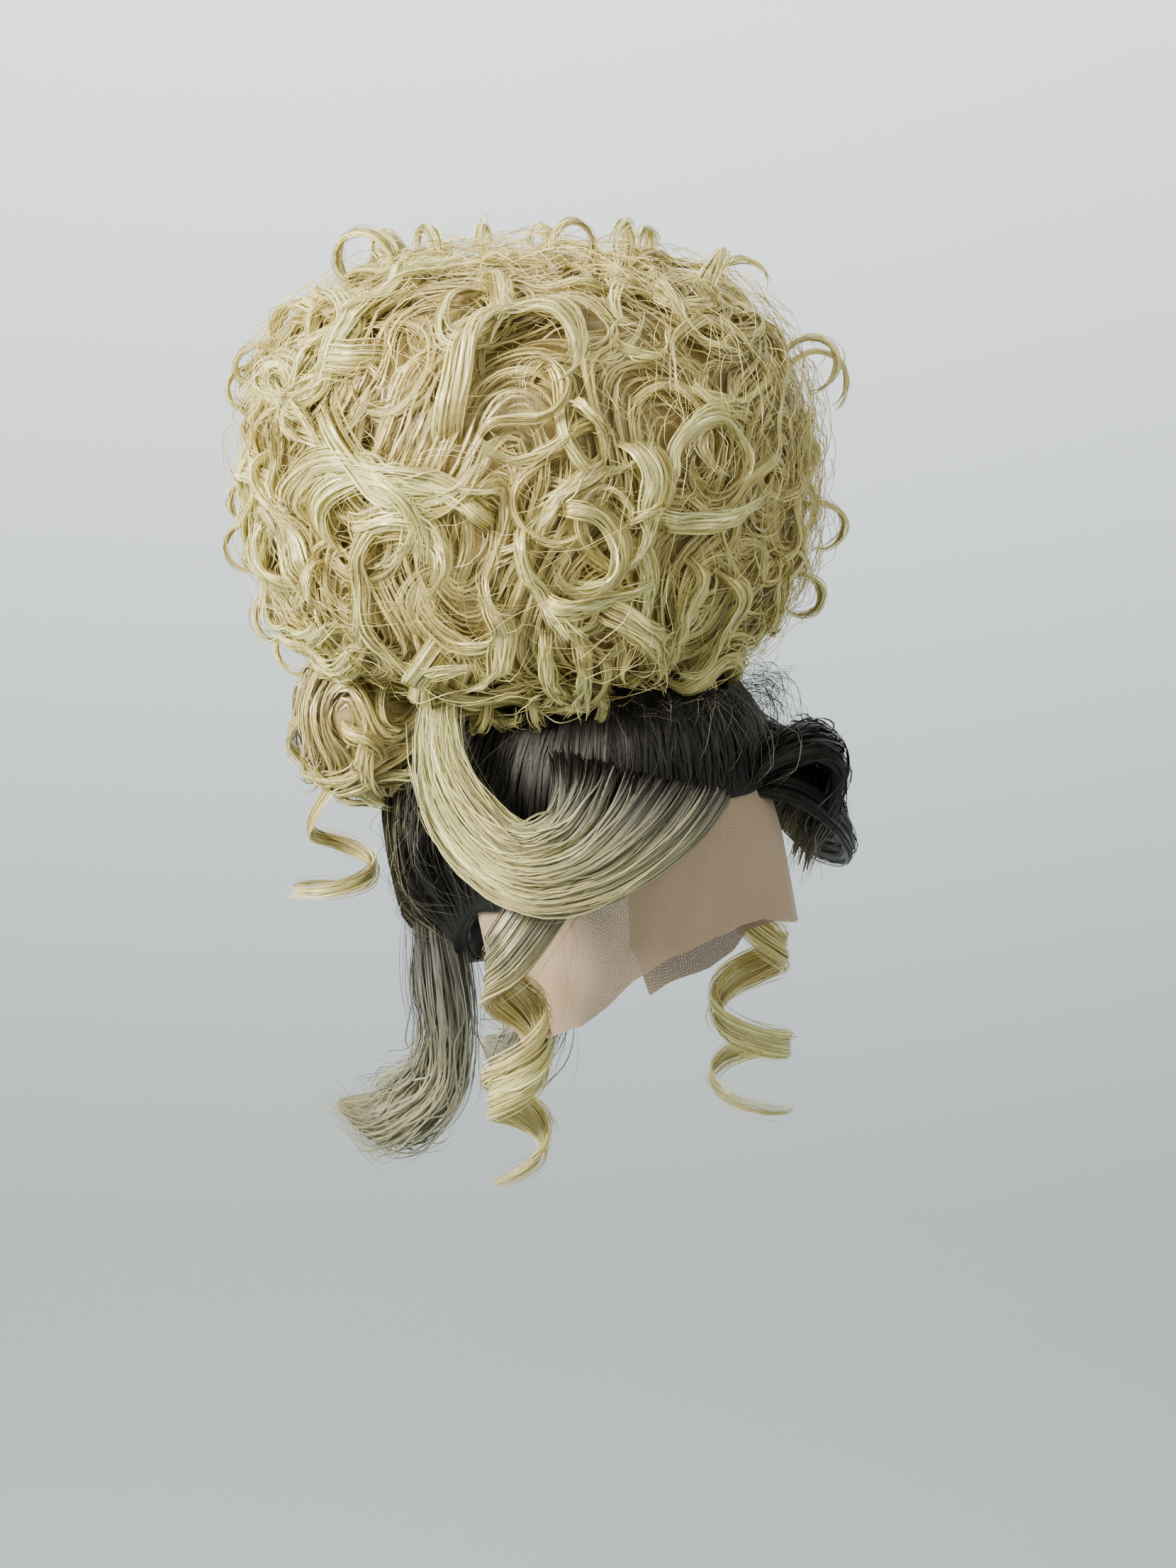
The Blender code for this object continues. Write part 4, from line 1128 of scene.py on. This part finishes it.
buildNapeLock("napeLockRight", -1, "nape_lock_right", 400)
buildNapeLock("napeLockLeft", 1, "nape_lock_left", 170)


# The lace skirt below the hairline
lace = {"end": 112.5, "columns": 150, "rows": 36, "standOff": 0.0010, "flapLift": 0.020,
        "wrinkle": 0.0006, "cell": 0.0019, "randomness": 0.35, "colour": (0.485, 0.34, 0.195),
        "patchScale": 22, "patchShade": (0.9, 0.86, 0.84), "thread": (0.10, 0.30),
        "holeCover": 0.78, "roughness": 0.75, "sheen": 0.3}


def laceMaterial():
    made, nodes, links, shader = nodeMaterial("laceNet")
    where = nodes.new("ShaderNodeUVMap")
    where.uv_map = "laceMap"
    cells = nodes.new("ShaderNodeTexVoronoi")
    cells.feature = "DISTANCE_TO_EDGE"
    setInputs(cells, {"Scale": 1 / lace["cell"], "Randomness": lace["randomness"]})
    thin, thick = lace["thread"]
    cover = addNode(nodes, "ShaderNodeMapRange", {"From Min": thin, "From Max": thick,
                                                  "To Min": 1.0, "To Max": lace["holeCover"]})
    patch = addNode(nodes, "ShaderNodeTexNoise", {"Scale": lace["patchScale"]})
    shaded = [tint * shade for tint, shade in zip(lace["colour"], lace["patchShade"])]
    ramp = addRamp(nodes, (0, shaded), (1, lace["colour"]))
    join(links, (where, "UV", cells, "Vector"), (cells, "Distance", cover, "Value"),
         (cover, "Result", shader, "Alpha"), (where, "UV", patch, "Vector"),
         (patch, "Fac", ramp, "Fac"), (ramp, "Color", shader, "Base Color"))
    setInputs(shader, {"Roughness": lace["roughness"], "Sheen Weight": lace["sheen"]})
    return made


def buildLace():
    azimuth = np.linspace(-lace["end"], lace["end"], lace["columns"] + 1)[:, None]
    down = np.linspace(0, 1, lace["rows"] + 1)[None, :]
    top = hairlineLevel(azimuth) - 0.004
    edge = np.interp(np.abs(azimuth), laceEdge[:, 0], laceEdge[:, 1])
    level = top + (edge - top) * down
    lift = lace["flapLift"] * np.interp(azimuth, laceFlap[:, 0], laceFlap[:, 1]) * down**1.3
    crease = lace["wrinkle"] * np.sin(azimuth * 0.35 + 6 * down) * down
    points = headPoint(azimuth, level, lace["standOff"] + lift + crease)
    mesh = bpy.data.meshes.new("laceFront")
    quads = gridQuads(np.arange(points.shape[0] * points.shape[1]).reshape(points.shape[:2]))
    mesh.from_pydata(points.reshape(-1, 3).tolist(), [], quads.tolist())
    layer = mesh.uv_layers.new(name="laceMap")
    maps = np.stack([runAlong(points, 0), runAlong(points, 1)], axis=-1).reshape(-1, 2)
    layer.data.foreach_set("uv", maps[quads.ravel()].astype(np.float32).ravel())
    mesh.polygons.foreach_set("use_smooth", np.ones(len(quads), dtype=bool))
    mesh.materials.append(laceMaterial())
    piece = newPiece("laceFront", mesh)
    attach(piece, "root")
    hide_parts("lace_front")
    print("made laceFront")


buildLace()



# The cap keeps its solid and gets a dark net with rows of wefts
cap = {"wefts": 26, "wander": 1.5, "net": 420, "bump": 0.0008, "roughness": 0.85,
       "low": (0.012, 0.010, 0.009), "high": (0.060, 0.048, 0.040)}


def capMaterial():
    made, nodes, links, shader = nodeMaterial("capNet")
    where = nodes.new("ShaderNodeTexCoord")
    wefts = nodes.new("ShaderNodeTexWave")
    wefts.bands_direction = "Z"
    setInputs(wefts, {"Scale": cap["wefts"], "Distortion": cap["wander"]})
    net = nodes.new("ShaderNodeTexVoronoi")
    net.feature = "DISTANCE_TO_EDGE"
    net.inputs["Scale"].default_value = cap["net"]
    blend = nodes.new("ShaderNodeMath")
    blend.operation = "MULTIPLY"
    bump = addNode(nodes, "ShaderNodeBump", {"Distance": cap["bump"]})
    ramp = addRamp(nodes, (0, cap["low"]), (1, cap["high"]))
    join(links, (where, "Object", wefts, "Vector"), (where, "Object", net, "Vector"),
         (wefts, "Fac", blend, 0), (net, "Distance", blend, 1), (wefts, "Fac", ramp, "Fac"),
         (ramp, "Color", shader, "Base Color"), (blend, "Value", bump, "Height"),
         (bump, "Normal", shader, "Normal"))
    shader.inputs["Roughness"].default_value = cap["roughness"]
    return made


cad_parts["wig_cap"].material_slots[0].material = capMaterial()
print("cap dressed")


# Floor, backdrop and soft light, in metres from the wig's origin and away from the camera
stage = {"floor": -1.0, "wall": 1.75, "bend": 0.70, "bendSteps": 16, "top": 3.5, "width": 14.0,
         "near": -7.0, "glow": 0.72, "colour": (0.94, 0.99, 0.99),
         "shadedLowColour": (0.30, 0.335, 0.34), "paintedShadeSpan": (-0.95, 0.42), "grain": 90,
         "grainBump": 0.05, "grainDepth": 0.002, "roughness": 0.9}


def stageMaterial():
    made, nodes, links, shader = nodeMaterial("backdropPaintedLight")
    where = nodes.new("ShaderNodeTexCoord")
    noise = addNode(nodes, "ShaderNodeTexNoise", {"Scale": stage["grain"]})
    bump = addNode(nodes, "ShaderNodeBump",
                   {"Strength": stage["grainBump"], "Distance": stage["grainDepth"]})
    height = nodes.new("ShaderNodeSeparateXYZ")
    # painted shade: the backdrop darkens from its pale colour at the top to dark grey towards the
    # bottom and the floor
    low, high = stage["paintedShadeSpan"]
    paintedShadeSpan = addNode(nodes, "ShaderNodeMapRange", {"From Min": low, "From Max": high})
    blend = nodes.new("ShaderNodeMix")
    blend.data_type = "RGBA"
    setInputs(blend, {"A": (*stage["shadedLowColour"], 1), "B": (*stage["colour"], 1)})
    join(links, (where, "Object", noise, "Vector"), (noise, "Fac", bump, "Height"),
         (bump, "Normal", shader, "Normal"), (where, "Object", height, "Vector"),
         (height, "Z", paintedShadeSpan, "Value"), (paintedShadeSpan, "Result", blend, "Factor"),
         (blend, "Result", shader, "Base Color"), (blend, "Result", shader, "Emission Color"))
    # painted light: the backdrop glows with its own colour, though it is no lamp
    setInputs(shader, {"Emission Strength": stage["glow"], "Roughness": stage["roughness"]})
    return made


def buildStage():
    away = Vector((-viewBack.x, -viewBack.y, 0)).normalized()
    level = Vector((viewRight.x, viewRight.y, 0)).normalized()
    outline = [(stage["near"], 0.0)]
    for i in range(stage["bendSteps"] + 1):
        angle = math.pi / 2 * i / stage["bendSteps"]
        outline.append((stage["wall"] - stage["bend"] + stage["bend"] * math.sin(angle),
                        stage["bend"] * (1 - math.cos(angle))))
    outline.append((stage["wall"], stage["top"]))
    verts = []
    for reach in (-stage["width"] / 2, stage["width"] / 2):
        for back, up in outline:
            spot = away * back + level * reach
            verts.append((spot.x, spot.y, stage["floor"] + up))
    long = len(outline)
    faces = [(i, i + 1, long + i + 1, long + i) for i in range(long - 1)]
    mesh = bpy.data.meshes.new("backdrop")
    mesh.from_pydata(verts, [], faces)
    mesh.polygons.foreach_set("use_smooth", np.ones(len(faces), dtype=bool))
    mesh.materials.append(stageMaterial())
    newPiece("backdrop", mesh)


buildStage()

# right, up and back in metres from the middle, then size, watts and colour
lights = {
    "keyLight": {"place": (-1.15, 0.50, 0.95), "size": 0.7, "power": 70, "colour": (1, 0.98, 0.95)},
    "fillLight": {"place": (1.0, 0.3, 1.6), "size": 1.4, "power": 9, "colour": (0.95, 0.97, 1)},
    "topLight": {"place": (-0.2, 1.5, 0.2), "size": 1.2, "power": 12, "colour": (0.97, 0.98, 1)},
}
surround = {"middle": (0, 0.03, 0.0), "colour": (0.90, 0.94, 0.97), "strength": 0.47}
middle = Vector(surround["middle"])
for name, data in lights.items():
    bpy.ops.object.light_add(type="AREA")
    lamp = bpy.context.object
    lamp.name = name
    right, up, back = data["place"]
    lamp.location = middle + viewRight * right + viewUp * up + viewBack * back
    lamp.rotation_euler = (lamp.location - middle).to_track_quat("Z", "Y").to_euler()
    lamp.data.shape = "DISK"
    lamp.data.size = data["size"]
    lamp.data.energy = data["power"]
    lamp.data.color = data["colour"]
world = bpy.context.scene.world or bpy.data.worlds.new("studio")
bpy.context.scene.world = world
world.use_nodes = True
setInputs(world.node_tree.nodes["Background"],
          {"Color": (*surround["colour"], 1), "Strength": surround["strength"]})
print("stage and lights set")
